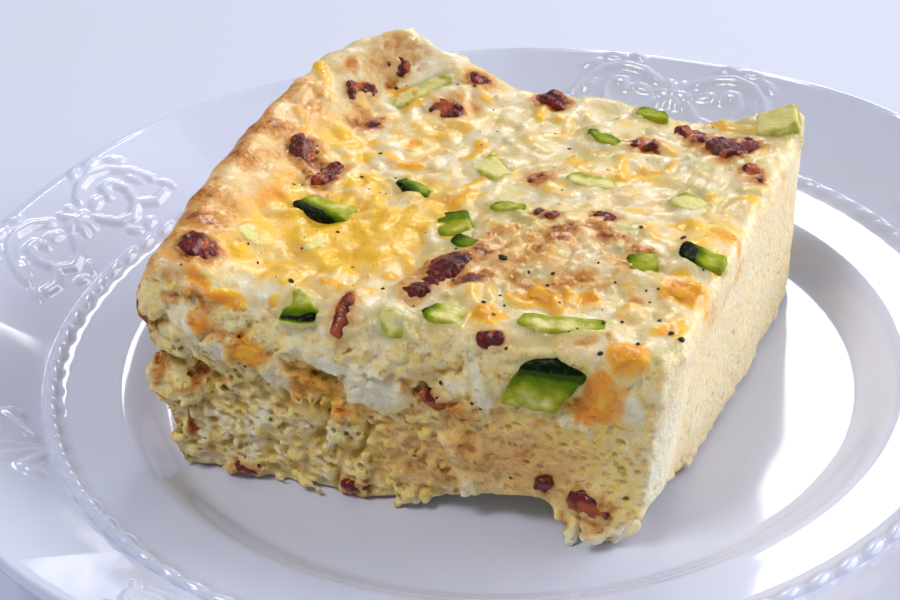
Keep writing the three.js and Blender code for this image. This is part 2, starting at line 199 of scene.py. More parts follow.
def widened(mask, steps):
    """The mask grown by a number of lattice steps along each axis."""
    for axis in range(mask.ndim):
        grown = mask.copy()
        for step in range(1, steps + 1):
            ahead = [slice(None)] * mask.ndim
            behind = [slice(None)] * mask.ndim
            ahead[axis] = slice(step, None)
            behind[axis] = slice(None, -step)
            grown[tuple(ahead)] |= mask[tuple(behind)]
            grown[tuple(behind)] |= mask[tuple(ahead)]
        mask = grown
    return mask


def blurred(values, times):
    """A lattice's values, each mixed with its neighbours' a number of times."""
    for _ in range(times):
        for axis in range(3):
            values = 0.5 * values + 0.25 * (np.roll(values, 1, axis) + np.roll(values, -1, axis))
    return values


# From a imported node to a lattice

def node_tree(node):
    """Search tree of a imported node's faces, in millimetres."""
    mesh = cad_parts[node].data
    corners = [tuple(v.co / MM) for v in mesh.vertices]
    return BVHTree.FromPolygons(corners, [tuple(p.vertices) for p in mesh.polygons])


def node_box(node):
    """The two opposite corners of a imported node's box, in millimetres."""
    low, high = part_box(node)
    return np.array(low) / MM, np.array(high) / MM


def node_corners(node):
    """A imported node's corners, each once."""
    corners = {tuple(round(c / MM, 2) for c in v.co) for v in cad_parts[node].data.vertices}
    return np.array(sorted(corners))


# Rays run a little beside the lattice lines, so that they miss the edges between faces
OFF_EDGE = 0.0137
RAY_STEP = 1e-3


def inside_of(tree, lattice, low, high):
    """Which lattice points lie inside a closed mesh, found by the faces that each upright line crosses."""
    inside = np.zeros(lattice.shape, bool)
    x_axis, y_axis, z_axis = lattice.axes
    start = float(z_axis[0]) - lattice.pitch
    columns = itertools.product(
        np.flatnonzero((x_axis >= low[0]) & (x_axis <= high[0])),
        np.flatnonzero((y_axis >= low[1]) & (y_axis <= high[1])),
    )
    up = Vector((0, 0, 1))
    for i, j in columns:
        origin = Vector((float(x_axis[i]) + OFF_EDGE, float(y_axis[j]) + OFF_EDGE, start))
        crossings = []
        hit = tree.ray_cast(origin, up)
        while hit[0] is not None:
            crossings.append(hit[0].z)
            hit = tree.ray_cast(Vector((origin.x, origin.y, hit[0].z + RAY_STEP)), up)
        for enter, leave in zip(crossings[::2], crossings[1::2]):
            inside[i, j] ^= (z_axis >= enter) & (z_axis < leave)
    return inside


def distance_to(tree, inside, lattice, reach):
    """Distance to a mesh at each lattice point, negative inside, and held at reach away from the skin."""
    near = widened(inside, math.ceil(reach / lattice.pitch))
    near &= widened(~inside, math.ceil(reach / lattice.pitch))
    values = np.where(inside, -reach, reach).astype(np.float32)
    cells = np.nonzero(near)
    found = [tree.find_nearest(Vector(p))[3] for p in lattice.place(cells).tolist()]
    values[cells] = np.minimum(found, reach) * np.where(inside[cells], -1, 1)
    return values


def smooth_union(a, b, reach):
    """The distance to two solids together, with the valley between them filled over a reach."""
    overlap = np.maximum(reach - np.abs(a - b), 0) / reach
    return np.minimum(a, b) - overlap * overlap * reach * 0.25


def smooth_cut(a, b, reach):
    """The solid a without the solid b."""
    return -smooth_union(-a, b, reach)


# From a lattice to a mesh

CORNERS = [np.array(c) for c in itertools.product((0, 1), repeat=3)]
EDGES = [(a, b) for a in CORNERS for b in CORNERS if (b - a).min() >= 0 and (b - a).sum() == 1]


def skin(values, lattice):
    """The closed skin where a lattice's values pass through zero, as points and four-sided faces."""
    low = values < 0
    n = [s - 1 for s in lattice.shape]
    count = np.zeros(n, np.uint8)
    for c in CORNERS:
        count += low[c[0]:c[0] + n[0], c[1]:c[1] + n[1], c[2]:c[2] + n[2]]
    cells = np.argwhere((count > 0) & (count < len(CORNERS)))
    number = np.full(n, -1, np.int32)
    number[tuple(cells.T)] = np.arange(len(cells))
    total = np.zeros((len(cells), 3))
    hits = np.zeros(len(cells))
    for a, b in EDGES:
        from_value = values[tuple((cells + a).T)]
        to_value = values[tuple((cells + b).T)]
        crosses = (from_value < 0) != (to_value < 0)
        t = np.where(crosses, from_value / np.where(crosses, from_value - to_value, 1), 0)
        total += np.where(crosses[:, None], a + t[:, None] * (b - a), 0)
        hits += crosses
    origin = np.array([axis[0] for axis in lattice.axes])
    points = origin + lattice.pitch * (cells + total / hits[:, None])
    faces = []
    for axis in range(3):
        u = np.eye(3, dtype=int)[(axis + 1) % 3]
        v = np.eye(3, dtype=int)[(axis + 2) % 3]
        ahead = [slice(None)] * 3
        behind = [slice(None)] * 3
        ahead[axis] = slice(1, None)
        behind[axis] = slice(None, -1)
        crossed = np.argwhere(low[tuple(behind)] != low[tuple(ahead)])
        ring = [number[tuple((crossed - shift).T)] for shift in (0 * u, u, u + v, v)]
        quads = np.stack(ring, axis=1)
        outward = low[tuple(crossed.T)]
        faces.append(np.where(outward[:, None], quads, quads[:, ::-1]))
    return points, np.concatenate(faces)


def neighbours(faces):
    """The two ends of every side of every face."""
    return np.concatenate([faces, np.roll(faces, -1, axis=1)]).reshape(2, -1)


def largest_part(points, faces):
    """The skin without the loose crumbs and sealed bubbles that lie apart from its largest part."""
    a, b = neighbours(faces)
    label = np.arange(len(points))
    while True:
        lowest = label.copy()
        np.minimum.at(lowest, a, label[b])
        np.minimum.at(lowest, b, label[a])
        lowest = lowest[lowest]
        if np.array_equal(lowest, label):
            break
        label = lowest
    kept = label == np.bincount(label).argmax()
    number = np.cumsum(kept) - 1
    return points[kept], number[faces[kept[faces[:, 0]]]]


def relaxed(points, faces, times, share):
    """Each point moved part of the way to the middle of its neighbours."""
    a, b = neighbours(faces)
    degree = np.bincount(a, minlength=len(points)) + np.bincount(b, minlength=len(points))
    for _ in range(times):
        middle = np.stack([
            np.bincount(a, points[b, k], len(points)) + np.bincount(b, points[a, k], len(points))
            for k in range(3)
        ], axis=1) / degree[:, None]
        points = points + share * (middle - points)
    return points


def make_piece(name, points, faces, material, replaced=(), masks=None):
    """A shown piece from points in millimetres. Masks are values for each point that its material reads."""
    mesh = bpy.data.meshes.new(name)
    if isinstance(faces, np.ndarray):
        faces = faces.tolist()
    mesh.from_pydata((points * MM).tolist(), [], faces)
    mesh.shade_smooth()
    for mask, values in (masks or {}).items():
        attribute = mesh.attributes.new(mask, "FLOAT", "POINT")
        attribute.data.foreach_set("value", np.asarray(values, np.float32))
    mesh.materials.append(material)
    piece = bpy.data.objects.new(name, mesh)
    SCENE.collection.objects.link(piece)
    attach(piece, "root")
    if replaced:
        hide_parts(*replaced)
    return piece


# Materials

def paint(red, green, blue):
    """A colour given as it looks on a screen, 0 to 255, in the shader's own scale."""
    def straight(value):
        value /= 255
        return value / 12.92 if value <= 0.04045 else ((value + 0.055) / 1.055) ** 2.4
    return (straight(red), straight(green), straight(blue), 1)


class Nodes:
    """Adds nodes to one node tree. An input is a value, or the output of a node that is already there."""

    def __init__(self, tree):
        self.tree = tree

    def add(self, kind, inputs=None, **settings):
        node = self.tree.nodes.new("ShaderNode" + kind)
        for name, value in settings.items():
            setattr(node, name, value)
        for name, value in (inputs or {}).items():
            if isinstance(value, bpy.types.NodeSocket):
                self.tree.links.new(value, node.inputs[name])
            else:
                node.inputs[name].default_value = value
        return node

    def mask(self, name):
        return self.add("Attribute", attribute_name=name).outputs["Fac"]

    def math(self, operation, *values):
        return self.add("Math", dict(enumerate(values)), operation=operation).outputs[0]

    def between(self, value, low, high, to_low=0.0, to_high=1.0):
        inputs = {"Value": value, "From Min": low, "From Max": high, "To Min": to_low, "To Max": to_high}
        return self.add("MapRange", inputs, interpolation_type="SMOOTHSTEP").outputs[0]

    def blend(self, share, under, over):
        return self.add("Mix", {0: share, 6: under, 7: over}, data_type="RGBA").outputs[2]

    def group(self, tree, **inputs):
        node = self.tree.nodes.new("ShaderNodeGroup")
        node.node_tree = tree
        for name, value in inputs.items():
            socket = node.inputs[name.replace("_", " ")]
            if isinstance(value, bpy.types.NodeSocket):
                self.tree.links.new(value, socket)
            else:
                socket.default_value = value
        return node.outputs

    def bumped(self, shader, height, strength, distance):
        bump = self.add("Bump", {"Height": height, "Strength": strength, "Distance": distance})
        self.tree.links.new(bump.outputs["Normal"], shader.inputs["Normal"])


def new_group(name, inputs, outputs):
    """A shader node group with named sockets, and its own input and output nodes."""
    tree = bpy.data.node_groups.new(name, "ShaderNodeTree")
    for socket, kind, value in inputs:
        made = tree.interface.new_socket(name=socket, in_out="INPUT", socket_type="NodeSocket" + kind)
        if value is not None:
            made.default_value = value
    for socket, kind in outputs:
        tree.interface.new_socket(name=socket, in_out="OUTPUT", socket_type="NodeSocket" + kind)
    given = tree.nodes.new("NodeGroupInput").outputs
    result = tree.nodes.new("NodeGroupOutput").inputs
    return tree, Nodes(tree), given, result


def mottle_group():
    """Soft random patches: a mask that is 1 where a noise is over the edge value."""
    tree, n, given, result = new_group(
        "mottle",
        [
            ("Vector", "Vector", None), ("Scale", "Float", 300), ("Edge", "Float", 0.5),
            ("Soft", "Float", 0.1),
        ],
        [("Mask", "Float")],
    )
    noise = n.add("TexNoise", {"Vector": given["Vector"], "Scale": given["Scale"], "Detail": 3.0})
    low = n.math("SUBTRACT", given["Edge"], given["Soft"])
    high = n.math("ADD", given["Edge"], given["Soft"])
    tree.links.new(n.between(noise.outputs["Fac"], low, high), result["Mask"])
    return tree


def ragged_group():
    """A painted mask with its edge broken up by coarse and fine noise, so that a tone ends unevenly."""
    tree, n, given, result = new_group(
        "ragged_edge",
        [
            ("Vector", "Vector", None), ("Mask", "Float", 0), ("Low", "Float", 0.2), ("High", "Float", 0.5),
            ("Coarse", "Float", 260), ("Fine", "Float", 900), ("Break", "Float", 0.8),
        ],
        [("Mask", "Float")],
    )
    coarse = n.add("TexNoise", {"Vector": given["Vector"], "Scale": given["Coarse"], "Detail": 2.0})
    fine = n.add("TexNoise", {"Vector": given["Vector"], "Scale": given["Fine"], "Detail": 3.0})
    both = n.math("ADD", coarse.outputs["Fac"], fine.outputs["Fac"])
    shift = n.math("MULTIPLY", n.math("SUBTRACT", both, 1.0), given["Break"])
    broken = n.math("ADD", given["Mask"], shift)
    tree.links.new(n.between(broken, given["Low"], given["High"]), result["Mask"])
    return tree


def crumb_group():
    """Height of fine moist grain: lumps and, inside them, finer ones."""
    tree, n, given, result = new_group(
        "crumb",
        [
            ("Vector", "Vector", None), ("Lumps", "Float", 900), ("Fine", "Float", 3000),
            ("Share", "Float", 0.4),
        ],
        [("Height", "Float")],
    )
    lumps = n.add("TexNoise", {"Vector": given["Vector"], "Scale": given["Lumps"], "Detail": 2.0})
    fine = n.add("TexNoise", {"Vector": given["Vector"], "Scale": given["Fine"], "Detail": 2.0})
    scaled = n.math("MULTIPLY", fine.outputs["Fac"], given["Share"])
    tree.links.new(n.math("ADD", lumps.outputs["Fac"], scaled), result["Height"])
    return tree


# How far the bubbles are bent out of round, in metres, and how much of their radius is fully open
PORE_WARP = 0.0006
PORE_CORE = 0.35


def pores_group():
    """Small open bubbles: a mask that is 1 inside them."""
    tree, n, given, result = new_group(
        "fine_pores",
        [
            ("Vector", "Vector", None), ("Scale", "Float", 600), ("Size", "Float", 0.35),
            ("Share", "Float", 0.5),
        ],
        [("Mask", "Float")],
    )
    bent = n.add("TexNoise", {"Vector": given["Vector"], "Scale": given["Scale"], "Detail": 1.0})
    shift = n.add("VectorMath", {0: bent.outputs["Color"], "Scale": PORE_WARP}, operation="SCALE").outputs[0]
    moved = n.add("VectorMath", {0: given["Vector"], 1: shift}, operation="ADD").outputs[0]
    cells = n.add("TexVoronoi", {"Vector": moved, "Scale": given["Scale"]})
    near = n.math("MULTIPLY", given["Size"], PORE_CORE)
    hole = n.between(cells.outputs["Distance"], given["Size"], near)
    chosen = n.math("LESS_THAN", cells.outputs["Color"], given["Share"])
    tree.links.new(n.math("MULTIPLY", hole, chosen), result["Mask"])
    return tree


def new_material(name):
    """A material with its node adder, the piece's own coordinates and the shader."""
    material = bpy.data.materials.new(name)
    material.use_nodes = True
    tree = material.node_tree
    tree.nodes.clear()
    n = Nodes(tree)
    coordinates = n.add("TexCoord").outputs["Object"]
    shader = n.add("BsdfPrincipled")
    output = n.add("OutputMaterial")
    tree.links.new(shader.outputs["BSDF"], output.inputs["Surface"])
    return material, n, coordinates, shader


def settle(shader, **values):
    """Sets values on the shader's own sockets."""
    for name, value in values.items():
        shader.inputs[name.replace("_", " ")].default_value = value


MOTTLE = mottle_group()
RAGGED = ragged_group()
CRUMB = crumb_group()
PORES = pores_group()

EGG_CREAM = paint(255, 231, 158)
EGG_YELLOW = paint(246, 201, 84)
EGG_WHITE = paint(255, 244, 214)
# Painted light: a paler copy of the crumb for the right-hand cut face, as where the window lights it
LIT_SIDE_CREAM = paint(255, 233, 190)
LIT_SIDE_YELLOW = paint(253, 221, 154)
TOP_CREAM = paint(249, 236, 204)
TOP_BUTTER = paint(241, 215, 142)
TOP_OCHRE = paint(208, 172, 80)
MELT_GOLD = paint(253, 196, 6)
MELT_ORANGE = paint(246, 150, 20)
UNDER_GREEN = paint(186, 182, 100)
BAKED_PEACH = paint(234, 186, 114)
BAKED_GOLD = paint(208, 140, 52)
BAKED_BROWN = paint(146, 70, 28)
BAKED_DARK = paint(70, 26, 14)
# Painted shade: darker, more ochre tones for the crumb's hollows and pores
HOLLOW_SHADE_OCHRE = paint(190, 152, 30)
HOLLOW_SHADE_DEEP = paint(136, 98, 14)

# Where each tone of browning begins and is full, the scales of the coarse and fine noise that break up
# its edge, and by how much they do
BROWNING = [
    (0.1, 0.5, 260.0, 900.0, 0.45, BAKED_PEACH),
    (0.36, 0.66, 300.0, 1000.0, 0.6, BAKED_GOLD),
    (0.58, 0.86, 340.0, 1200.0, 0.7, BAKED_BROWN),
    (0.84, 1.08, 340.0, 1300.0, 0.6, BAKED_DARK),
]
# Painted shade in the hollows and pores: how far in each of its tones begins and is full
HOLLOW_SHADES = [(0.15, 1.1, HOLLOW_SHADE_OCHRE), (0.9, 2.1, HOLLOW_SHADE_DEEP)]
HOLLOW_SHADE_SHARE = 0.85
BAKED_BUMP = 0.42
CUT_COAT = 0.04
BAKED_COAT = 0.24


def egg_material():
    """Baked egg: pale crumb with painted shade at the cut faces, and on top a skin with melted cheese and
    browning.
    """
    material, n, at, shader = new_material("baked_egg")

    def ragged(mask, low, high, coarse, fine, broken):
        edge = {"Low": low, "High": high, "Coarse": coarse, "Fine": fine, "Break": broken}
        return n.group(RAGGED, Vector=at, Mask=mask, **edge)["Mask"]

    def share_of(mask, share):
        return n.math("MULTIPLY", mask, share)

    top = n.mask("top")
    cut = n.math("SUBTRACT", 1.0, top)
    broad = n.group(MOTTLE, Vector=at, Scale=150.0, Edge=0.5, Soft=0.16)["Mask"]
    patchy = n.group(MOTTLE, Vector=at, Scale=320.0, Edge=0.5, Soft=0.14)["Mask"]
    fine = n.group(MOTTLE, Vector=at, Scale=900.0, Edge=0.52, Soft=0.12)["Mask"]
    pores = n.group(PORES, Vector=at, Scale=620.0, Size=0.4, Share=0.4)["Mask"]
    pinholes = n.group(PORES, Vector=at, Scale=1150.0, Size=0.36, Share=0.3)["Mask"]
    pores = share_of(n.math("MAXIMUM", pores, share_of(pinholes, 0.7)), cut)
    pores = n.math("MULTIPLY", pores, n.between(n.mask("pale"), 0.0, 1.0, 1.0, 0.2))
    crumb = n.blend(share_of(patchy, 0.6), EGG_CREAM, EGG_YELLOW)
    crumb = n.blend(share_of(fine, 0.5), crumb, EGG_WHITE)
    # Painted light: the right-hand cut face gets the paler, lit copy of the crumb
    side = n.blend(share_of(broad, 0.5), LIT_SIDE_CREAM, LIT_SIDE_YELLOW)
    crumb = n.blend(n.mask("pale"), crumb, side)
    baked = n.blend(broad, TOP_CREAM, TOP_BUTTER)
    baked = n.blend(share_of(patchy, 0.38), baked, TOP_OCHRE)
    baked = n.blend(share_of(fine, 0.3), baked, TOP_CREAM)
    colour = n.blend(top, crumb, baked)
    curd = ragged(n.mask("curd"), 0.0, 0.75, 260.0, 900.0, 0.6)
    curd = n.math("MULTIPLY", curd, n.between(patchy, 0.0, 1.0, 1.0, 0.8))
    colour = n.blend(curd, colour, EGG_WHITE)
    green = share_of(ragged(n.mask("green"), 0.1, 0.9, 260.0, 900.0, 0.6), 0.6)
    colour = n.blend(green, colour, UNDER_GREEN)
    gold = ragged(n.mask("gold"), 0.0, 0.6, 180.0, 500.0, 0.5)
    gold = n.math("MULTIPLY", gold, n.between(top, 0.0, 1.0, 0.6, 0.94))
    colour = n.blend(gold, colour, MELT_GOLD)
    orange = share_of(ragged(n.mask("orange"), 0.05, 0.95, 260.0, 700.0, 0.45), 0.9)
    colour = n.blend(orange, colour, MELT_ORANGE)
    # Painted shade: the deeper a place lies in the plain slice, and inside the fine pores, the darker the
    # crumb
    sunk = n.math("ADD", n.mask("sunk"), share_of(pores, 0.7))
    for begins, full, tone in HOLLOW_SHADES:
        colour = n.blend(share_of(n.between(sunk, begins, full), HOLLOW_SHADE_SHARE), colour, tone)
    brown = n.mask("brown")
    for *edge, tone in BROWNING:
        colour = n.blend(ragged(brown, *edge), colour, tone)
    n.tree.links.new(colour, shader.inputs["Base Color"])
    wet = n.between(patchy, 0.0, 1.0, 0.38, 0.58)
    n.tree.links.new(n.math("SUBTRACT", wet, share_of(top, 0.08)), shader.inputs["Roughness"])
    height = n.group(CRUMB, Vector=at, Lumps=820.0, Fine=2800.0, Share=0.45)["Height"]
    height = n.math("MULTIPLY", height, n.between(top, 0.0, 1.0, 1.0, BAKED_BUMP))
    height = n.math("SUBTRACT", height, pores)
    n.bumped(shader, height, 0.75, 0.0007)
    settle(shader, Subsurface_Weight=0.45, Subsurface_Radius=(1.0, 0.6, 0.2), Subsurface_Scale=0.0024)
    n.tree.links.new(n.between(top, 0.0, 1.0, CUT_COAT, BAKED_COAT), shader.inputs["Coat Weight"])
    settle(shader, Coat_Roughness=0.1)
    return material


COURGETTE_RIND = paint(14, 24, 3)
COURGETTE_RIND_FLECK = paint(40, 66, 14)
COURGETTE_UNDER = paint(54, 78, 2)
COURGETTE_BRIGHT = paint(100, 126, 2)
COURGETTE_PALE = paint(166, 172, 38)
COURGETTE_CREAM = paint(236, 226, 150)


def courgette_material():
    """Cooked courgette: nearly black-green skin with paler flecks, green flesh under it, then pale flesh."""
    material, n, at, shader = new_material("cooked_courgette")
    streaks = n.group(MOTTLE, Vector=at, Scale=420.0, Edge=0.5, Soft=0.2)["Mask"]
    flecks = n.group(MOTTLE, Vector=at, Scale=1100.0, Edge=0.6, Soft=0.06)["Mask"]
    uneven = n.math("MULTIPLY", n.math("SUBTRACT", streaks, 0.5), 0.3)
    green = n.math("ADD", n.mask("green"), uneven)
    flesh = n.blend(n.between(green, 0.0, 0.5), COURGETTE_CREAM, COURGETTE_PALE)
    flesh = n.blend(n.between(green, 0.4, 1.0), flesh, COURGETTE_BRIGHT)
    flesh = n.blend(n.between(green, 0.9, 1.7), flesh, COURGETTE_UNDER)
    rind = n.mask("rind")
    skin_tone = n.blend(flecks, COURGETTE_RIND, COURGETTE_RIND_FLECK)
    edge = n.group(RAGGED, Vector=at, Mask=rind, Low=0.4, High=0.7, Coarse=500.0, Fine=1400.0, Break=0.35)
    n.tree.links.new(n.blend(edge["Mask"], flesh, skin_tone), shader.inputs["Base Color"])
    n.tree.links.new(n.between(streaks, 0.0, 1.0, 0.26, 0.42), shader.inputs["Roughness"])
    height = n.group(CRUMB, Vector=at, Lumps=1500.0, Fine=3800.0, Share=0.4)["Height"]
    n.bumped(shader, height, 0.4, 0.0005)
    settle(shader, Subsurface_Weight=0.25, Subsurface_Radius=(0.5, 0.8, 0.15), Subsurface_Scale=0.0015)
    settle(shader, Coat_Weight=0.04, Coat_Roughness=0.1, Specular_IOR_Level=0.05)
    return material


BACON_LEAN = paint(122, 15, 10)
BACON_DARK = paint(66, 9, 7)
BACON_FAT = paint(194, 88, 24)


def bacon_material():
    """Fried bacon: dark lean with browned fat in stripes, and an oily coat."""
    material, n, at, shader = new_material("fried_bacon")
    patchy = n.group(MOTTLE, Vector=at, Scale=420.0, Edge=0.5, Soft=0.2)["Mask"]
    colour = n.blend(patchy, BACON_LEAN, BACON_DARK)
    fat = n.mask("fat")
    fat = n.group(RAGGED, Vector=at, Mask=fat, Low=0.35, High=0.8, Coarse=400.0, Fine=1300.0, Break=0.5)
    colour = n.blend(n.math("MULTIPLY", fat["Mask"], 0.8), colour, BACON_FAT)
    n.tree.links.new(colour, shader.inputs["Base Color"])
    n.tree.links.new(n.between(patchy, 0.0, 1.0, 0.2, 0.34), shader.inputs["Roughness"])
    height = n.group(CRUMB, Vector=at, Lumps=1200.0, Fine=3200.0, Share=0.5)["Height"]
    n.bumped(shader, height, 0.6, 0.0006)
    settle(shader, Subsurface_Weight=0.15, Subsurface_Radius=(0.8, 0.25, 0.1), Subsurface_Scale=0.001)
    settle(shader, Coat_Weight=0.28, Coat_Roughness=0.12, Specular_IOR_Level=0.3)
    return material


CHEESE_DEEP = paint(255, 156, 6)
CHEESE_LIGHT = paint(255, 184, 34)


def cheese_material():
    """Melted orange cheese, waxy, and paler where it has run."""
    material, n, at, shader = new_material("melted_cheese")
    patchy = n.group(MOTTLE, Vector=at, Scale=420.0, Edge=0.5, Soft=0.2)["Mask"]
    n.tree.links.new(n.blend(patchy, CHEESE_DEEP, CHEESE_LIGHT), shader.inputs["Base Color"])
    n.tree.links.new(n.between(patchy, 0.0, 1.0, 0.32, 0.5), shader.inputs["Roughness"])
    height = n.group(CRUMB, Vector=at, Lumps=900.0, Fine=2800.0, Share=0.4)["Height"]
    n.bumped(shader, height, 0.45, 0.0006)
    settle(shader, Subsurface_Weight=0.35, Subsurface_Radius=(1.0, 0.5, 0.15), Subsurface_Scale=0.002)
    settle(shader, Coat_Weight=0.1, Coat_Roughness=0.25)
    return material


PORCELAIN_WHITE = paint(217, 224, 249)
PORCELAIN_SHADE = paint(214, 221, 247)


def porcelain_material():
    """White glaze, a little uneven in tone and gloss."""
    material, n, at, shader = new_material("glazed_porcelain")
    uneven = n.group(MOTTLE, Vector=at, Scale=40.0, Edge=0.5, Soft=0.3)["Mask"]
    n.tree.links.new(n.blend(uneven, PORCELAIN_WHITE, PORCELAIN_SHADE), shader.inputs["Base Color"])
    n.tree.links.new(n.between(uneven, 0.0, 1.0, 0.08, 0.12), shader.inputs["Roughness"])
    settle(shader, IOR=1.5)
    return material


PEPPER_BLACK = paint(26, 20, 16)
PEPPER_HUSK = paint(74, 50, 34)


def pepper_material():
    """Black pepper with brown bits of husk."""
    material, n, at, shader = new_material("ground_pepper")
    husk = n.group(MOTTLE, Vector=at, Scale=2500.0, Edge=0.6, Soft=0.1)["Mask"]
    n.tree.links.new(n.blend(husk, PEPPER_BLACK, PEPPER_HUSK), shader.inputs["Base Color"])
    settle(shader, Roughness=0.5)
    return material


HERB_GREEN = paint(58, 84, 20)
HERB_DARK = paint(22, 38, 10)


def herb_material():
    """Small bits of courgette skin."""
    material, n, at, shader = new_material("courgette_skin_bits")
    dark = n.group(MOTTLE, Vector=at, Scale=900.0, Edge=0.5, Soft=0.1)["Mask"]
    n.tree.links.new(n.blend(dark, HERB_GREEN, HERB_DARK), shader.inputs["Base Color"])
    settle(shader, Roughness=0.4)
    return material


def floor_material():
    """Plain pale table."""
    material, _, _, shader = new_material("pale_table")
    settle(shader, Base_Color=paint(219, 224, 245), Roughness=0.6)
    return material


# Baked egg

BRIDGE_STEPS = 150
PLUG_JOIN = 1.6
SOLID_MARGIN = 3.0
SKIN_MARGIN = 2.5
FIELD_MARGIN = 3.5
FIELD_PITCH = 0.45


def levelled(solid, covered):
    """The solid with its covered columns raised to the open ones round them. Its last axis points out."""
    inside = solid.any(axis=2)
    last = solid.shape[2] - 1
    level = (last - np.argmax(solid[:, :, ::-1], axis=2)).astype(float)
    known = inside & ~covered
    level = np.where(known, level, level[known].mean())

    def round_about(values):
        return sum(np.roll(values, shift, axis) for axis in (0, 1) for shift in (1, -1))

    shares = np.maximum(round_about(inside.astype(float)), 1)
    for _ in range(BRIDGE_STEPS):
        level = np.where(known, level, round_about(level * inside) / shares)
    first = np.argmax(solid, axis=2)
    index = np.arange(last + 1)
    filled = (index >= first[..., None]) & (index <= level[..., None]) & (inside & covered)[..., None]
    return solid | filled


def plain_body():
    """The slice's distance lattice with its toppings' pockets filled level, and its plain skin."""
    low, high = node_box("egg_slice")
    block = Lattice(low - SOLID_MARGIN, high + SOLID_MARGIN, SOLID_PITCH)
    tree = node_tree("egg_slice")
    solid = inside_of(tree, block, low, high)
    over_top = np.zeros(block.shape[:2], bool)
    over_front = np.zeros((block.shape[0], block.shape[2]), bool)
    for node in TOPPINGS:
        held = inside_of(node_tree(node), block, *node_box(node))
        if node in ON_FRONT:
            over_front |= held.any(axis=1)
        else:
            over_top |= held.any(axis=2)
    filled = levelled(solid, widened(over_top, 1))
    facing = levelled(np.transpose(filled, (0, 2, 1))[:, :, ::-1], widened(over_front, 1))
    filled = np.transpose(facing[:, :, ::-1], (0, 2, 1))
    plugs = filled & ~solid
    plugs |= widened(plugs, 1) & solid
    values = 0.5 - blurred(plugs.astype(np.float32), 1)
    points, faces = skin(values, block)
    plug_tree = BVHTree.FromPolygons(points.tolist(), faces.tolist())
    coarse = Lattice(low - SOLID_MARGIN, high + SOLID_MARGIN, DISTANCE_PITCH)
    distance = distance_to(tree, inside_of(tree, coarse, low, high), coarse, SKIN_REACH)
    in_plug = resampled(values, block.axes, coarse.axes) < 0
    distance = smooth_union(distance, distance_to(plug_tree, in_plug, coarse, SKIN_REACH), PLUG_JOIN)
    distance = blurred(distance, 2)
    points, faces = skin(resampled(distance, coarse.axes, block.axes), block)
    points, faces = largest_part(points, faces)
    return distance, coarse, points, faces


def topping_fields():
    """Each topping's distance lattice, with room round it for the egg that laps over it."""
    fields = {}
    for node in TOPPINGS:
        low, high = node_box(node)
        lattice = Lattice(low - FIELD_MARGIN, high + FIELD_MARGIN, FIELD_PITCH)
        tree = node_tree(node)
        inside = inside_of(tree, lattice, low, high)
        fields[node] = (distance_to(tree, inside, lattice, FIELD_MARGIN), lattice)
    return fields


# Spots of colour: middle along the face and across it, half length, half width, turn in degrees, strength.
# On top they are given by x and y, on the front by x and height above the slice's bottom, and on the
# right-hand cut face by y and that height.
TOP_GOLD = [
    (-24.0, -18.0, 22.0, 15.0, -40, 0.7), (-12.0, -4.0, 13.0, 8.0, -50, 0.45),
    (37.0, -6.0, 12.0, 7.0, 70, 0.4), (-17.7, -21.0, 8.8, 5.8, 52, 1.0),
    (-16.5, -13.5, 8.0, 4.0, -53, 0.9), (-11.0, -16.5, 6.0, 3.0, -61, 0.8),
    (-36.9, -30.5, 7.0, 2.2, -56, 0.8), (-41.5, -19.0, 5.2, 2.0, 67, 0.7), (-28.5, -30.0, 3.6, 2.6, 40, 0.6),
    (-29.8, 9.0, 2.8, 2.6, 10, 0.7), (-22.0, -2.0, 4.0, 2.6, -50, 0.55),
    (35.6, 9.5, 2.2, 2.0, 0, 0.8), (40.8, 10.0, 2.6, 2.0, 28, 0.8), (32.8, -3.0, 4.4, 3.0, -20, 0.85),
    (39.5, -5.5, 3.0, 2.0, 62, 1.0), (36.5, -11.0, 2.4, 2.0, -39, 0.8), (23.5, 0.5, 3.0, 2.2, 30, 0.6),
    (36.0, -21.5, 2.8, 2.6, 7, 0.9), (-14.0, -11.5, 7.0, 5.0, -50, 1.0), (-26.0, 0.5, 6.0, 3.6, 20, 0.7),
    (-30.5, -17.0, 4.6, 2.0, -60, 0.55), (-35.0, -22.0, 9.0, 7.0, -50, 0.5),
    (-26.0, -33.0, 7.0, 5.0, -30, 0.5), (12.0, -18.5, 4.2, 3.2, -8, 0.6), (22.0, 14.0, 4.0, 2.4, -30, 0.5),
]
TOP_ORANGE = [
    (-30.2, 32.0, 3.6, 2.0, 10, 0.8), (-38.3, -11.0, 6.4, 2.2, 71, 0.8), (-44.0, -38.5, 3.4, 1.7, -25, 1.0),
    (-39.5, -40.5, 3.6, 1.6, -25, 1.0), (-35.8, -42.6, 3.4, 1.6, -30, 1.0), (16.2, -27.5, 3.4, 2.2, -6, 1.0),
    (22.8, -28.5, 2.4, 1.8, -7, 0.9), (21.2, -25.0, 1.8, 1.2, 4, 0.8), (-23.0, 16.5, 2.2, 1.8, -4, 0.8),
    (37.5, -33.5, 3.2, 2.0, 40, 0.6), (-40.0, -33.0, 2.6, 1.6, -40, 0.7), (-33.0, -41.5, 2.4, 1.8, 20, 0.7),
    (41.0, -16.0, 2.4, 1.4, 80, 0.7),
]
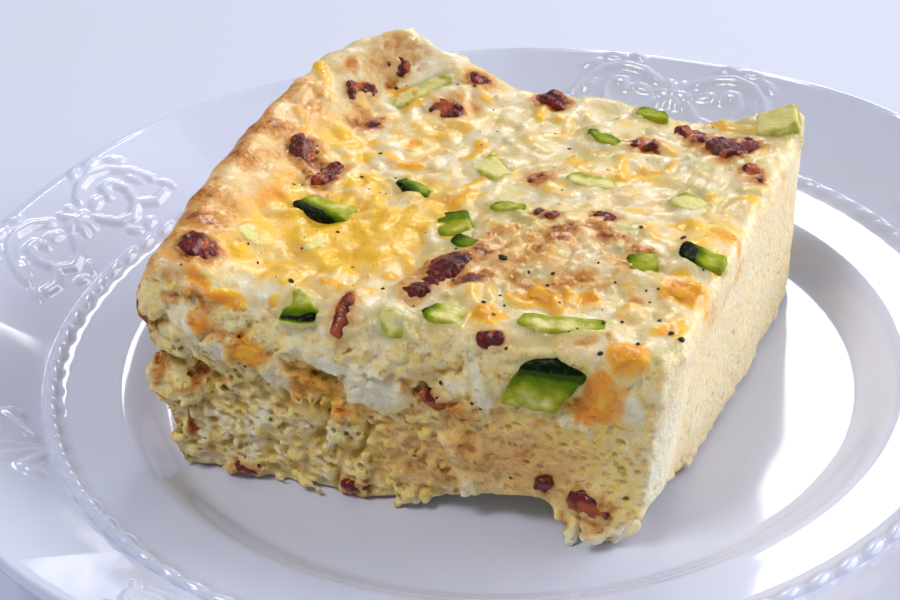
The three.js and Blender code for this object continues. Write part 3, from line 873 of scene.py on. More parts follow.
TOP_WHITE_AND_LIGHT = [
    # Painted light: this spot and those at (-30, 38) and (-29, 43) whiten the rim's peak where light falls
    # on it
    (-33.0, 39.0, 8.0, 4.0, 0, 0.6),
    (-15.5, -5.5, 6.8, 2.8, -45, 0.9), (-38.2, -24.8, 4.9, 2.6, 43, 0.8), (-28.2, -19.8, 4.2, 2.4, 88, 0.8),
    (-29.5, -37.5, 5.0, 2.6, -45, 0.7), (24.8, -32.8, 5.4, 1.5, 23, 1.0), (30.7, -12.7, 4.0, 2.6, 12, 0.9),
    (-8.5, 18.5, 9.0, 5.0, -21, 0.35), (-13.0, 11.5, 6.0, 4.0, -20, 0.6), (27.5, 22.0, 5.0, 2.8, 8, 0.9),
    (-6.0, -41.0, 4.4, 3.2, 22, 0.6), (-30.0, 38.0, 9.0, 6.0, 40, 0.9),
    (-44.5, -22.0, 6.0, 1.8, 75, 0.6), (-42.0, 12.0, 8.0, 2.2, 75, 0.6), (8.0, 33.0, 6.0, 3.0, -30, 0.6),
    (-34.5, -37.5, 2.4, 1.6, 60, 0.7), (-29.0, 43.0, 8.0, 3.0, 0, 0.8), (-45.5, -22.0, 7.0, 1.4, 80, 0.6),
]
TOP_BROWN = [
    (-36.5, 1.0, 8.6, 5.4, -40, 0.78), (-31.9, -6.8, 4.7, 2.4, -19, 0.55), (-42.5, 16.0, 6.5, 3.0, 70, 0.5),
    (-34.5, 22.0, 6.5, 3.6, -35, 0.6), (-40.7, 31.0, 3.4, 2.2, 72, 0.55), (-33.5, 34.0, 2.6, 2.0, 45, 0.7),
    (-47.0, -4.5, 4.0, 1.6, 79, 0.6), (-48.0, 11.0, 3.4, 2.2, 70, 0.4), (-18.0, 32.0, 5.0, 3.2, 13, 0.55),
    (4.2, 9.0, 3.4, 2.8, -16, 0.55), (18.8, 26.0, 3.8, 2.8, -22, 0.55), (31.5, 30.5, 9.0, 5.0, -30, 0.72),
    (19.0, -4.5, 4.0, 2.4, -49, 0.5), (2.2, -19.5, 4.6, 3.0, -48, 0.8),
    (16.2, -27.3, 3.2, 1.8, -6, 0.62), (30.3, -27.5, 1.8, 1.4, -26, 0.65), (25.7, -40.0, 2.6, 1.5, 34, 0.55),
    (28.6, -38.0, 3.0, 0.9, -71, 0.6), (-42.5, -38.5, 3.0, 2.4, -18, 0.72),
    (-47.0, -32.0, 3.0, 2.0, 70, 0.55), (-3.5, -31.5, 5.4, 2.4, 50, 0.5),
    (-1.0, -25.0, 8.0, 4.6, 40, 0.85), (3.2, -28.0, 5.6, 2.4, 25, 1.05),
    (3.5, -20.5, 3.6, 2.2, 40, 0.9), (-14.5, -40.5, 5.0, 2.2, 82, 0.6), (-42.0, -34.0, 5.8, 4.4, -10, 0.72),
    (-34.0, 37.0, 9.0, 6.0, 40, 0.42), (-26.0, -31.5, 1.0, 0.8, 0, 0.6), (20.0, -12.0, 7.0, 3.0, 10, 0.35),
    (-38.0, -28.5, 1.2, 1.0, 0, 0.6),
]
FRONT_GOLD_AND_SHADE = [
    # The spot at (-4, 11) is painted shade in the broad hollow of the front's middle
    (18.0, 15.0, 26.0, 15.0, 0, 0.42), (-4.0, 11.0, 14.0, 11.0, 0, 0.46), (-16.0, 18.0, 14.0, 6.0, -15, 0.4),
    (28.0, 24.0, 9.0, 8.0, 0, 0.4), (-26.0, 8.0, 8.0, 6.0, 0, 0.2),
]
FRONT_WHITE = [
    (-8.5, 23.4, 6.6, 5.4, -35, 1.0), (-15.5, 26.4, 4.4, 2.2, -8, 1.0), (-25.8, 22.4, 2.8, 3.4, 0, 0.9),
    (9.9, 27.0, 1.5, 6.4, 14, 1.0), (24.7, 22.5, 3.8, 1.6, 0, 0.9), (33.5, 26.5, 2.6, 4.4, 0, 1.0),
    (4.3, 13.6, 1.7, 3.8, 18, 1.0), (-41.0, 31.5, 4.8, 2.6, -20, 0.7), (-35.6, 26.0, 3.0, 3.4, 20, 0.8),
    (5.6, 26.4, 2.8, 2.2, 0, 0.75), (6.6, 6.0, 2.0, 4.2, 14, 1.0), (24.3, 0.8, 2.4, 1.2, 0, 1.0),
    (33.0, 2.0, 3.6, 2.6, 0, 1.0), (-20.0, 29.0, 5.0, 2.0, 0, 0.5), (41.0, 14.0, 4.0, 14.0, 0, 0.6),
    (27.0, 2.0, 4.0, 2.4, 0, 0.7), (38.0, 1.5, 3.4, 2.4, 0, 0.8),
]
FRONT_ORANGE = [
    (-21.7, 21.0, 2.8, 2.3, 0, 0.8), (-15.5, 17.0, 5.4, 3.0, -12, 0.6), (6.1, 21.0, 4.6, 3.0, 0, 0.9),
    (28.6, 27.6, 3.0, 5.6, 0, 1.35), (26.8, 25.2, 3.2, 3.4, 0, 1.1), (7.4, 15.2, 2.1, 4.6, 0, 0.7),
    (-23.9, 17.3, 2.2, 1.7, 0, 0.55), (-35.0, 23.6, 1.6, 1.2, 0, 0.6), (-37.6, 31.4, 1.6, 3.6, 35, 1.0),
    (-34.8, 35.0, 1.8, 2.4, 30, 0.9), (-30.4, 25.9, 3.2, 2.4, 0, 0.9), (-19.0, 22.0, 7.5, 3.8, -24, 0.66),
    (-11.0, 17.5, 4.0, 2.2, -24, 0.5),
    (-42.0, 18.0, 3.6, 1.4, 0, 0.6), (19.0, 21.5, 3.4, 1.4, 0, 0.45), (-8.0, 15.6, 3.2, 1.6, -15, 0.45),
    (29.5, 31.5, 2.2, 1.8, 0, 0.8),
]
FRONT_BROWN_AND_SHADE = [
    (-2.2, 25.6, 1.5, 2.8, 0, 0.62), (11.6, 21.6, 1.3, 1.9, 0, 0.4), (3.2, 22.6, 3.2, 1.0, 5, 0.7),
    (-46.8, 15.0, 4.4, 1.1, -30, 0.8), (-40.2, 18.6, 2.0, 1.7, 20, 0.78), (-42.4, 10.0, 1.1, 4.4, 5, 0.9),
    (-47.5, 18.0, 1.4, 1.2, 0, 0.55), (-39.8, 4.7, 2.2, 3.0, 0, 0.42), (-48.3, 25.0, 1.6, 2.0, 0, 0.85),
    (-48.6, 30.5, 1.0, 3.4, 0, 0.9), (-46.8, 22.6, 2.0, 1.0, -35, 0.9),
    (-33.8, 0.8, 2.4, 1.1, 0, 0.8), (-13.0, 2.6, 3.2, 1.7, 0, 0.66), (27.4, 5.0, 4.8, 3.4, -15, 0.4),
    (0.4, 27.6, 3.4, 2.4, 0, 0.34), (-43.5, 34.5, 2.0, 1.8, -30, 0.55),
    # The spot at (-1, 9) is painted shade in the broad hollow of the front's middle
    (15.0, 13.0, 18.0, 10.0, -8, 0.46), (5.5, 21.5, 5.4, 3.0, 20, 0.6), (-1.0, 9.0, 11.0, 8.0, 0, 0.42),
    (25.0, 15.0, 8.0, 7.0, 0, 0.25),
    (17.0, 18.5, 4.5, 1.2, -10, 0.5), (9.0, 10.0, 3.5, 1.0, 10, 0.45), (23.0, 12.0, 2.4, 0.8, -15, 0.4),
    (-38.5, 34.5, 5.0, 2.0, -35, 0.62), (-35.0, 29.5, 3.4, 1.6, -40, 0.55), (-46.8, 21.0, 1.8, 3.0, 0, 0.62),
    (-36.5, 18.5, 5.0, 1.1, -28, 0.55), (5.0, 18.0, 6.0, 1.6, 10, 0.3), (-2.0, 19.0, 3.4, 2.2, 0, 0.34),
]
SIDE_BROWN = [
    (-22.0, 30.5, 9.0, 4.4, 0, 0.32), (-12.5, 30.0, 5.2, 2.6, 0, 0.4), (-5.0, 30.0, 5.0, 3.0, 0, 0.3),
    (24.7, 32.0, 3.2, 2.7, 0, 0.42), (8.0, 31.5, 6.0, 2.2, 0, 0.25), (-36.5, 7.0, 3.0, 4.0, 0, 0.25),
]
SIDE_ORANGE = [(-25.0, 33.5, 2.4, 1.2, 0, 0.5), (-6.8, 30.5, 2.4, 1.0, 0, 0.4)]
SIDE_WHITE = [
    (-33.0, 22.0, 4.4, 6.5, 0, 0.5), (-39.0, 14.0, 7.0, 15.0, 0, 0.8), (-20.0, 12.0, 4.0, 8.0, 0, 0.3),
]


def spotted(spots, a, b):
    """How strongly the strongest spot covers a place: its own strength in its middle, none at its edge."""
    strongest = np.full(np.broadcast(a, b).shape, UNPAINTED)
    for middle_a, middle_b, half_long, half_wide, turn, strength in spots:
        c, s = math.cos(math.radians(turn)), math.sin(math.radians(turn))
        along = ((a - middle_a) * c + (b - middle_b) * s) / half_long
        across = ((b - middle_b) * c - (a - middle_a) * s) / half_wide
        strongest = np.maximum(strongest, strength * (1 - along**2 - across**2))
    return strongest


def zones(right, back, up):
    """How much each place belongs to the top, the front, the right-hand side, the back and the pan side."""
    return {
        "top": smooth(0.4, 0.8, up),
        "front": smooth(0.4, 0.8, -back),
        "side": smooth(0.4, 0.8, right),
        "rear": smooth(0.4, 0.8, back),
        "pan": smooth(0.3, 0.7, -right),
    }


# Ovals on a face, given as the spots of colour are: the hump on top, its ridged patch, and on the front the
# folded flap with the crease over it, the tear at the foot, and the stringy patch under the rim
HUMP = (16.0, -18.0, 19.0, 12.0, 0, 1.0)
RIDGED = (-6.0, -41.0, 6.0, 4.6, 22, 1.0)
FLAP = (-45.0, 17.5, 6.6, 3.0, -14, 1.0)
FLAP_CREASE = (-42.5, 21.0, 7.5, 1.6, -22, 1.0)
FOOT_TEAR = (30.0, 2.5, 10.0, 6.5, 0, 1.0)
FIBROUS = (-43.0, 30.0, 10.0, 9.0, 0, 1.0)
RIDGE_PERIOD = 1.15
RIDGE_HEIGHT = 0.25
FIBRE_PERIOD = 2.1
FIBRE_HEIGHT = 0.32
FLAP_HEIGHT = 1.5
CREASE_DEPTH = 1.6
TEAR_DEPTH = 0.9
LIP_DEPTH = 1.3
LIP_WIDTH = 1.1


def billow(block, size, seed):
    """Rounded lumps with sharp creases between them, from about -0.5 to 1."""
    return 1.8 * np.abs(grain(block, size, seed)) - 0.6


def lip_height(block):
    """Height of the uneven line on the front where the baked skin ends and the crumb begins."""
    x = block.spread()[0]
    falls, climbs = smooth(-46, -20, x), smooth(-5, 30, x)
    return mix(30.0, 24.5, falls) + mix(0.0, 3.5, climbs) + 1.2 * np.sin(0.43 * x)


def crumb_relief(block, zone):
    """How far the torn crumb and the baked skin stand out of the plain slice."""
    x, y, z = block.spread()
    height = z - SLICE_BOTTOM
    left_half = 1 - smooth(0, 20, x)
    rim = 1 - smooth(-45, -35, x)
    hump = smooth(-0.1, 0.3, spotted([HUMP], x, y))
    curd = smooth(0.0, 0.5, spotted(FRONT_WHITE, x, height))
    # Smooth swells, fine grain, coarse and fine torn lumps, lines that the knife dragged, and short tears
    lumps = 0.7 * grain(block, 6.0, 11) + 0.3 * grain(block, 3.2, 12)
    fine = 0.5 * grain(block, 1.5, 13) + 0.35 * grain(block, 0.95, 14)
    clumps = 0.9 * billow(block, 5.5, 15)
    torn = 0.6 * billow(block, 3.0, 16) + 0.65 * billow(block, 1.7, 21)
    drag = grain(block, (2.2, 1.4, 10.0), 17)
    tear = (1 - smooth(0.0, 0.2, np.abs(grain(block, 6.5, 19)))) * smooth(-0.1, 0.5, grain(block, 9.0, 20))
    baked = 0.65 * lumps + 0.42 * billow(block, 4.0, 24) + mix(0.06, 0.16, hump) * fine
    crumb = zone["front"] * (1 - curd)
    relief = zone["top"] * mix(1.0, 0.6, rim) * baked
    relief += crumb * mix(0.3, 1.0, left_half) * (1.05 * torn + 0.65 * clumps + 0.6 * fine)
    relief -= crumb * mix(0.4, 1.0, left_half) * TEAR_DEPTH * tear
    relief += zone["front"] * curd * (0.5 + 1.0 * clumps + 0.3 * lumps + 0.7 * torn + 0.5 * fine)
    fibres = np.sin((0.87 * x + 0.5 * height + 1.6 * grain(block, 4.0, 25)) * 2 * math.pi / FIBRE_PERIOD)
    fibrous = smooth(0.0, 0.5, spotted([FIBROUS], x, height))
    relief += (zone["front"] + zone["pan"]) * fibrous * FIBRE_HEIGHT * fibres
    relief += zone["side"] * (0.02 * drag + 0.14 * lumps + 0.1 * fine)
    relief += zone["rear"] * (0.5 * torn + 0.3 * clumps - 0.5 * tear)
    relief += zone["pan"] * (0.35 * lumps + 0.15 * fine)
    flap = smooth(0.0, 0.45, spotted([FLAP], x, height))
    relief += (zone["front"] + 0.5 * zone["pan"]) * FLAP_HEIGHT * flap
    crease = smooth(0.0, 0.6, spotted([FLAP_CREASE], x, height))
    relief -= zone["front"] * CREASE_DEPTH * crease * (1 - flap)
    foot = smooth(0.0, 0.5, spotted([FOOT_TEAR], x, height))
    relief += (zone["front"] + zone["side"]) * foot * (0.7 * torn + 0.5 * clumps)
    lip = np.exp(-((height - lip_height(block)) / LIP_WIDTH) ** 2) * smooth(-0.5, 0.4, grain(block, 7.0, 22))
    relief -= zone["front"] * LIP_DEPTH * lip * smooth(-0.1, 0.5, 0.5 - curd)
    ridges = np.sin((0.75 * x + 0.66 * y + 0.8 * grain(block, 3.0, 23)) * 2 * math.pi / RIDGE_PERIOD)
    relief += zone["top"] * smooth(0.0, 0.5, spotted([RIDGED], x, y)) * RIDGE_HEIGHT * ridges
    ragged_base = (zone["front"] + zone["side"]) * (1 - smooth(1.0, 4.5, height))
    relief += ragged_base * (mix(0.55, 0.3, zone["side"]) * clumps + 0.4 * torn)
    return relief


def line_distance(where, a, b, flatten=1.0):
    """Distance from each point of a block to the straight line between two points."""
    x, y, z = where
    step = b - a
    t = ((x - a[0]) * step[0] + (y - a[1]) * step[1] + (z - a[2]) * step[2]) / (step @ step)
    t = np.clip(t, 0, 1)
    off_z = (z - a[2] - t * step[2]) * flatten
    return np.sqrt((x - a[0] - t * step[0]) ** 2 + (y - a[1] - t * step[1]) ** 2 + off_z**2)


SKY = 80.0
STRANDS = 210
STRAND_TONES = ("gold", "orange", "white")
STRAND_SHARES = (0.42, 0.18, 0.4)
# Where the shreds lie, and which way they run and how far they bend: middle and spread, in degrees
STRAND_X = (-46, 42)
STRAND_Y = (-43, 42)
STRAND_HEADING = (-50, 42)
STRAND_BEND = (0, 32)
# Half length and radius, and how deep the shreds have sunk as a share of the radius
STRAND_HALF = (1.8, 4.4)
STRAND_RADIUS = (0.8, 1.5)
STRAND_SUNK = (0.2, 0.8)
SUNK_ON_HUMP = 0.4
STEEPEST = 3
STRAND_FLATTEN = 1.25
STRAND_JOIN = 0.9
# The distance to a shred that is too far away to colour a place
FAR = 3.0


def dropped(tree, x, y):
    """The place on a skin straight below a point high over it, or None."""
    hit = tree.ray_cast(Vector((x, y, SKY)), Vector((0, 0, -1)))[0]
    return None if hit is None else np.array(hit)


def add_strands(body, block, tree):
    """Melted shreds of cheese on top. Returns the distance to those of each tone."""
    tones = {tone: np.full(block.shape, FAR, np.float32) for tone in STRAND_TONES}
    rng = np.random.default_rng(41)
    for _ in range(STRANDS):
        middle = np.array([rng.uniform(*STRAND_X), rng.uniform(*STRAND_Y)])
        heading = math.radians(rng.normal(*STRAND_HEADING))
        bend = math.radians(rng.normal(*STRAND_BEND))
        half = rng.uniform(*STRAND_HALF)
        radius = rng.uniform(*STRAND_RADIUS)
        sunk = rng.uniform(*STRAND_SUNK) * radius
        tone = rng.choice(STRAND_TONES, p=STRAND_SHARES)
        if spotted([HUMP], *middle) > 0.1:
            sunk += SUNK_ON_HUMP * radius
        first = middle - half * np.array([math.cos(heading), math.sin(heading)])
        last = middle + half * np.array([math.cos(heading + bend), math.sin(heading + bend)])
        ends = [dropped(tree, *place) for place in (first, middle, last)]
        if any(end is None for end in ends) or np.ptp([end[2] for end in ends]) > STEEPEST:
            continue
        for a, b in zip(ends, ends[1:]):
            a, b = a - (0, 0, sunk), b - (0, 0, sunk)
            window = block.window(np.minimum(a, b) - radius - 1, np.maximum(a, b) + radius + 1)
            tube = line_distance(block.within(window), a, b, STRAND_FLATTEN) - radius
            body[window] = smooth_union(body[window], tube, STRAND_JOIN)
            tones[tone][window] = np.minimum(tones[tone][window], tube)
    return tones


BUBBLES = 420
BUBBLE_RADIUS = (0.28, 0.75)
BUBBLE_JOIN = 0.3
# One bubble in this many lies anywhere on top, and the others on the hump
ANYWHERE = 5
# The part of the top over which bubbles and pepper are strewn
STREWN_X = (-44, 42)
STREWN_Y = (-42, 42)


def add_bubbles(body, block, tree):
    """The bubbly film that baked on the hump, as small domes, with a few more over the rest of the top."""
    rng = np.random.default_rng(43)
    for number in range(BUBBLES):
        if number % ANYWHERE:
            turn, out = rng.uniform(0, 2 * math.pi), math.sqrt(rng.uniform(0, 1))
            x = HUMP[0] + HUMP[2] * out * math.cos(turn)
            y = HUMP[1] + HUMP[3] * out * math.sin(turn)
        else:
            x, y = rng.uniform(*STREWN_X), rng.uniform(*STREWN_Y)
        radius = rng.uniform(*BUBBLE_RADIUS)
        centre = dropped(tree, x, y)
        if centre is None:
            continue
        centre[2] -= radius * rng.uniform(0.0, 0.5) - 0.25
        window = block.window(centre - radius - 1, centre + radius + 1)
        dome = line_distance(block.within(window), centre, centre + (0, 0, 0.01)) - radius
        body[window] = smooth_union(body[window], dome, BUBBLE_JOIN)


LAP_REACH = 3.6
LAP_UNEVEN = 0.4
BACON_LAP_UNEVEN = 0.5
# How far the egg stays under the top of a topping that shows clearly. It is level with the others.
BARE = {
    "courgette_1": 0.35, "courgette_2": 0.12, "courgette_4": 0.35, "courgette_5": 0.15, "courgette_6": 0.2,
    "courgette_7": 0.15, "courgette_10": 0.15, "courgette_11": 0.3, "courgette_15": 0.6, "courgette_21": 0.5,
    "courgette_16": 0.2, "courgette_17": 0.12, "courgette_19": -0.2, "courgette_20": -0.2,
    "bacon_1": 0.3, "bacon_2": 0.12, "bacon_3": 0.35, "bacon_4": 0.4, "bacon_5": 0.4, "bacon_7": 0.1,
    "bacon_9": 0.7, "bacon_10": 0.5, "bacon_11": 0.4, "bacon_12": 0.42, "bacon_20": 0.3, "bacon_21": 0.25,
    "bacon_22": 0.1, "bacon_23": 0.1, "bacon_24": 0.1, "cheese_2": 0.0, "cheese_6": -0.2, "cheese_7": -0.2,
}
BARE_MOST = 0.05
BARE_BACON = 0.3
# A topping stands as proud as this many of its corners do, and is left alone within this slack
PROUD_CORNERS = 8
LAP_SLACK = 0.05
LAP_ROOM = 3


def lap_over(body, block, fields):
    """The egg climbs the sides of each topping and runs a little way over it."""
    uneven = LAP_UNEVEN * grain(block, 1.9, 51)
    ragged = BACON_LAP_UNEVEN * (0.5 * grain(block, 1.5, 52) + 0.6 * grain(block, 0.9, 53))
    for node, (distance, lattice) in fields.items():
        corners = node_corners(node)
        proud = np.sort(read_at(body, block, corners))[-PROUD_CORNERS:].mean()
        bare = BARE.get(node, BARE_BACON if node.startswith("bacon") else BARE_MOST)
        if proud <= bare + LAP_SLACK:
            continue
        sunk = LAP_REACH + proud - 2 * math.sqrt(LAP_REACH * (proud - bare))
        window = block.window(corners.min(axis=0) - LAP_ROOM, corners.max(axis=0) + LAP_ROOM)
        near = resampled(distance, lattice.axes, [axis[part] for axis, part in zip(block.axes, window)])
        lap = ragged if node.startswith("bacon") else uneven
        body[window] = smooth_union(body[window], near + sunk + lap[window], LAP_REACH)


def scatter(points, faces, wanted, weight_of, rng):
    """Random places on a mesh's faces, drawn by a weight for each place and its outward direction."""
    corners = points[faces]
    middle = corners.mean(axis=1)
    across = np.cross(corners[:, 2] - corners[:, 0], corners[:, 3] - corners[:, 1])
    area = np.linalg.norm(across, axis=1) / 2
    outward = across / np.maximum(2 * area, 1e-9)[:, None]
    weight = area * np.clip(weight_of(middle, outward), 0, None)
    chosen = rng.choice(len(faces), wanted, p=weight / weight.sum())
    shift = rng.random((wanted, 2, 1))
    place = corners[chosen, 0] + shift[:, 0] * (corners[chosen, 1] - corners[chosen, 0])
    place += shift[:, 1] * (corners[chosen, 3] - corners[chosen, 0])
    return place, outward[chosen]


def spaced(places, gaps):
    """Which places are left when each keeps its own gap to all before it."""
    kept = []
    for index, (place, gap) in enumerate(zip(places, gaps)):
        if not kept or ((places[kept] - place) ** 2).sum(axis=1).min() > gap * gap:
            kept.append(index)
    return kept


PORE_TRIES = 13000
PORE_SOFT = 0.3
# The gap between pores where few are open and where all are, their size as a share of it, and the most
PORE_GAPS = (2.6, 1.2)
PORE_SHARE = 0.42
PORE_MOST = 0.75
# How far a pore's long way may tilt, in degrees, and its radii along it, across it and inward
PORE_TILT = (-40, 15)
PORE_RADII = ((1.2, 1.9), (0.7, 1.05), (0.9, 1.35))


def cut_pores(body, block, points, faces):
    """Bubbles that the knife has opened: oval pores, close together in the torn left of the front."""
    rng = np.random.default_rng(21)

    def openness(middle, outward):
        height = middle[:, 2] - SLICE_BOTTOM
        # Most are in the torn left of the front and in the back, few at the right, none in curd or skin
        front = np.clip(-outward[:, 1] - 0.5, 0, 1) * mix(1.0, 0.16, smooth(0, 14, middle[:, 0]))
        front *= 1 - smooth(0.0, 0.4, spotted(FRONT_WHITE, middle[:, 0], height))
        side = 0.012 * np.clip(outward[:, 0] - 0.6, 0, 1)
        rear = 0.7 * np.clip(outward[:, 1] - 0.6, 0, 1)
        return (front + side + rear) * (1 - smooth(21, 28, height))

    places, outward = scatter(points, faces, PORE_TRIES, openness, rng)
    open_here = np.clip(openness(places, outward) / 0.5, 0, 1)
    gaps = mix(*PORE_GAPS, open_here) * rng.uniform(0.85, 1.4, PORE_TRIES)
    up = np.array([0.0, 0.0, 1.0])
    for index in spaced(places, gaps):
        out = outward[index]
        level = np.cross(up, out)
        level /= np.linalg.norm(level)
        tilt = math.radians(rng.uniform(*PORE_TILT))
        steep = np.cross(out, level)
        long_way = math.cos(tilt) * level + math.sin(tilt) * steep
        directions = (long_way, np.cross(out, long_way), out)
        size = min(PORE_SHARE * gaps[index], PORE_MOST)
        size = size * mix(0.55, 1.0, open_here[index]) * rng.uniform(0.8, 1.2)
        radii = size * np.array([rng.uniform(*span) for span in PORE_RADII])
        centre = places[index] - out * rng.uniform(-0.1, 0.6) * radii[2]
        hollow_out(body, block, centre, directions, radii, PORE_SOFT)


def hollow_out(body, block, centre, directions, radii, soft):
    """Cuts one rounded pore with its own three directions out of a lattice's solid."""
    reach = radii.max() + 2 * soft
    window = block.window(centre - reach, centre + reach)
    x, y, z = block.within(window)
    squares = 0
    for direction, radius in zip(directions, radii):
        along = (x - centre[0]) * direction[0] + (y - centre[1]) * direction[1]
        along = along + (z - centre[2]) * direction[2]
        squares = squares + (along / radius) ** 2
    pore = (np.sqrt(squares) - 1) * radii.min()
    body[window] = smooth_cut(body[window], pore, soft)


def egg_body(fields):
    """Makes the slice's piece, and returns its skin."""
    distance, coarse, plain_points, plain_faces = plain_body()
    plain_tree = BVHTree.FromPolygons(plain_points.tolist(), plain_faces.tolist())
    low, high = node_box("egg_slice")
    block = Lattice(low - SKIN_MARGIN, high + SKIN_MARGIN, EGG_PITCH)
    plain = resampled(distance, coarse.axes, block.axes)
    body = plain.copy()
    slopes = np.gradient(distance, coarse.pitch)
    steep = np.sqrt(sum(s * s for s in slopes)) + 1e-6
    facing = [resampled(blurred(s / steep, 1), coarse.axes, block.axes) for s in slopes]
    body -= crumb_relief(block, zones(*facing))
    tones = add_strands(body, block, plain_tree)
    add_bubbles(body, block, plain_tree)
    lap_over(body, block, fields)
    cut_pores(body, block, plain_points, plain_faces)
    np.maximum(body, PLATE_TOP - block.spread()[2], out=body)
    points, faces = skin(body, block)
    points, faces = largest_part(points, faces)
    points = relaxed(points, faces, 1, 0.4)
    masks = egg_masks(points, block, facing, plain, tones, fields)
    make_piece("egg_body", points, faces, egg_material(), ["egg_slice"], masks)
    return points, faces


# How far the edges of painted spots wander, and over what distance
WARP = 0.8
WARP_SIZE = 2.8
# How far the tone of a melted shred reaches past it
STRAND_EDGE = 0.5
# How strongly each kind of topping stains the egg at its edge, and how fast that fades with distance
STAIN = {
    "courgette": 0.9, "bacon": 0.72, "cheese": 0.8, "bacon_1": 0.45, "bacon_2": 0.5, "bacon_3": 0.8,
    "bacon_12": 0.45, "bacon_6": 0.5, "bacon_7": 0.45, "bacon_8": 0.55,
}
STAIN_FADE = {"courgette": 0.56, "bacon": 0.3, "cheese": 0.5}


def stained(points, fields, kind):
    """How strongly the nearest topping of one kind stains each point."""
    stain = np.full(len(points), UNPAINTED)
    for node, (distance, lattice) in fields.items():
        if node.startswith(kind):
            low = np.array([axis[0] for axis in lattice.axes])
            high = np.array([axis[-1] for axis in lattice.axes])
            close = np.flatnonzero(((points > low) & (points < high)).all(axis=1))
            near = np.maximum(read_at(distance, lattice, points[close]), 0)
            strength = STAIN.get(node, STAIN[kind]) - STAIN_FADE[kind] * near
            stain[close] = np.maximum(stain[close], strength)
    return stain


def egg_masks(points, block, facing, plain, tones, fields):
    """Where the egg is baked skin, white curd, melted cheese or browned, and how deep it lies for painted
    shade, for each point.
    """
    x, y, z = points.T
    height = z - SLICE_BOTTOM
    zone = zones(*(read_at(direction, block, points) for direction in facing))
    x_warp = WARP * grain_at(points, WARP_SIZE, 31)
    y_warp = WARP * grain_at(points, WARP_SIZE, 32)
    x_off, y_off, height_off = x + x_warp, y + y_warp, height + y_warp
    top, front, side, rear, pan = (zone[name] for name in ("top", "front", "side", "rear", "pan"))
    strand = {
        tone: np.clip(1 - read_at(field, block, points) / STRAND_EDGE, UNPAINTED, 1)
        for tone, field in tones.items()
    }
    broad = grain_at(points, 6.5, 33)
    middling = grain_at(points, 3.0, 34)

    def painted(top_spots, front_spots, side_spots):
        """Each face's spots, where that face is, and nothing elsewhere."""
        value = np.full(len(points), UNPAINTED)
        layers = (
            (top, top_spots, x_off, y_off),
            (front, front_spots, x_off, height_off),
            (side, side_spots, y_off, height_off),
        )
        for share, spots, a, b in layers:
            value = np.maximum(value, mix(UNPAINTED, spotted(spots, a, b), smooth(0.1, 0.6, share)))
        return value

    def baked(value):
        """A mask that holds on the baked top only."""
        return mix(UNPAINTED, value, top)

    # White curd is painted, in some shreds, and in flecks over the torn left of the front. The white on the
    # rim's peak is painted light.
    curd = painted(TOP_WHITE_AND_LIGHT, FRONT_WHITE, SIDE_WHITE)
    curd = np.maximum(curd, baked(mix(-0.3, 0.4, strand["white"])))
    flecks = front * (1 - smooth(-5, 25, x))
    curd = np.maximum(curd, mix(UNPAINTED, 0.9 * grain_at(points, 2.4, 37) - 0.1, flecks))
    # Melted cheese lies thickest at the left, thinner at the right and hardly at all along the back
    to_right = smooth(-15, 12, x)
    melted = mix(0.2, -0.26, smooth(-22, 0, x)) - 0.4 * smooth(20, 34, y)
    gold = np.maximum(painted(TOP_GOLD, FRONT_GOLD_AND_SHADE, []), baked(0.45 * broad + 0.25 * middling + melted))
    gold = np.maximum(gold, baked(mix(0.6, 0.4, to_right) * strand["gold"]))
    gold = np.maximum(gold, 0.5 * rear * (broad - 0.3))
    orange = painted(TOP_ORANGE, FRONT_ORANGE, SIDE_ORANGE)
    orange = np.maximum(orange, baked(mix(0.5, 0.32, to_right) * strand["orange"]))
    orange = np.maximum(orange, stained(points, fields, "cheese"))
    gold = np.maximum(gold, orange + mix(0.0, 0.25, top))
    orange = np.maximum(orange, rear * (0.9 * grain_at(points, 5.0, 35) - 0.35))
    # The green under the skin shows round the chunks, and in stains anywhere but on the raised rim
    rim = top * (1 - smooth(-46, -34, x))
    stains = grain_at(points, 5.0, 36) + mix(-0.1, 0.12, smooth(-15, 15, x))
    green = np.maximum(stained(points, fields, "courgette"), mix(UNPAINTED, stains, top * (1 - rim)))
    # Browning: painted, round the bacon, on the hump, along the rim, down the pan side and at the base, with
    # one painted spot of shade in the front's middle
    brown = painted(TOP_BROWN, FRONT_BROWN_AND_SHADE, SIDE_BROWN)
    brown = np.maximum(brown, stained(points, fields, "bacon") * np.maximum(top, 0.7))
    hump = smooth(-0.1, 0.5, spotted([HUMP], x_off, y_off))
    brown = np.maximum(brown, baked(mix(UNPAINTED, 0.3 + 0.42 * middling + 0.22 * broad, hump)))
    brown = np.maximum(brown, rim * (0.54 + 0.28 * broad + 0.18 * middling) * (1 - smooth(18, 30, y)))
    high_up = smooth(30, 40, height)
    back = smooth(26, 36, y)
    crust = mix(0.62, 0.34 - 0.34 * back, high_up)
    brown = np.maximum(brown, pan * (crust + 0.26 * broad + 0.22 * middling))
    brown = np.maximum(brown, baked((0.1 + 0.4 * middling * broad) * (1 - back * (x < 0))))
    base = 1 - smooth(0.2, 1.3, height)
    brown = np.maximum(brown, base * (0.3 + 0.5 * broad))
    return {
        "top": top,
        # The right-hand cut face, which the material paints paler, as lit
        "pale": side,
        "curd": curd,
        "gold": gold,
        "orange": orange,
        "green": green,
        "brown": np.clip(brown, -0.2, 1.1),
        # How deep each point lies in the plain slice, less on top and on the right-hand face: the material
        # paints shade by it
        "sunk": -read_at(plain, block, points) * (1 - 0.5 * top - 0.8 * side),
    }


# Toppings

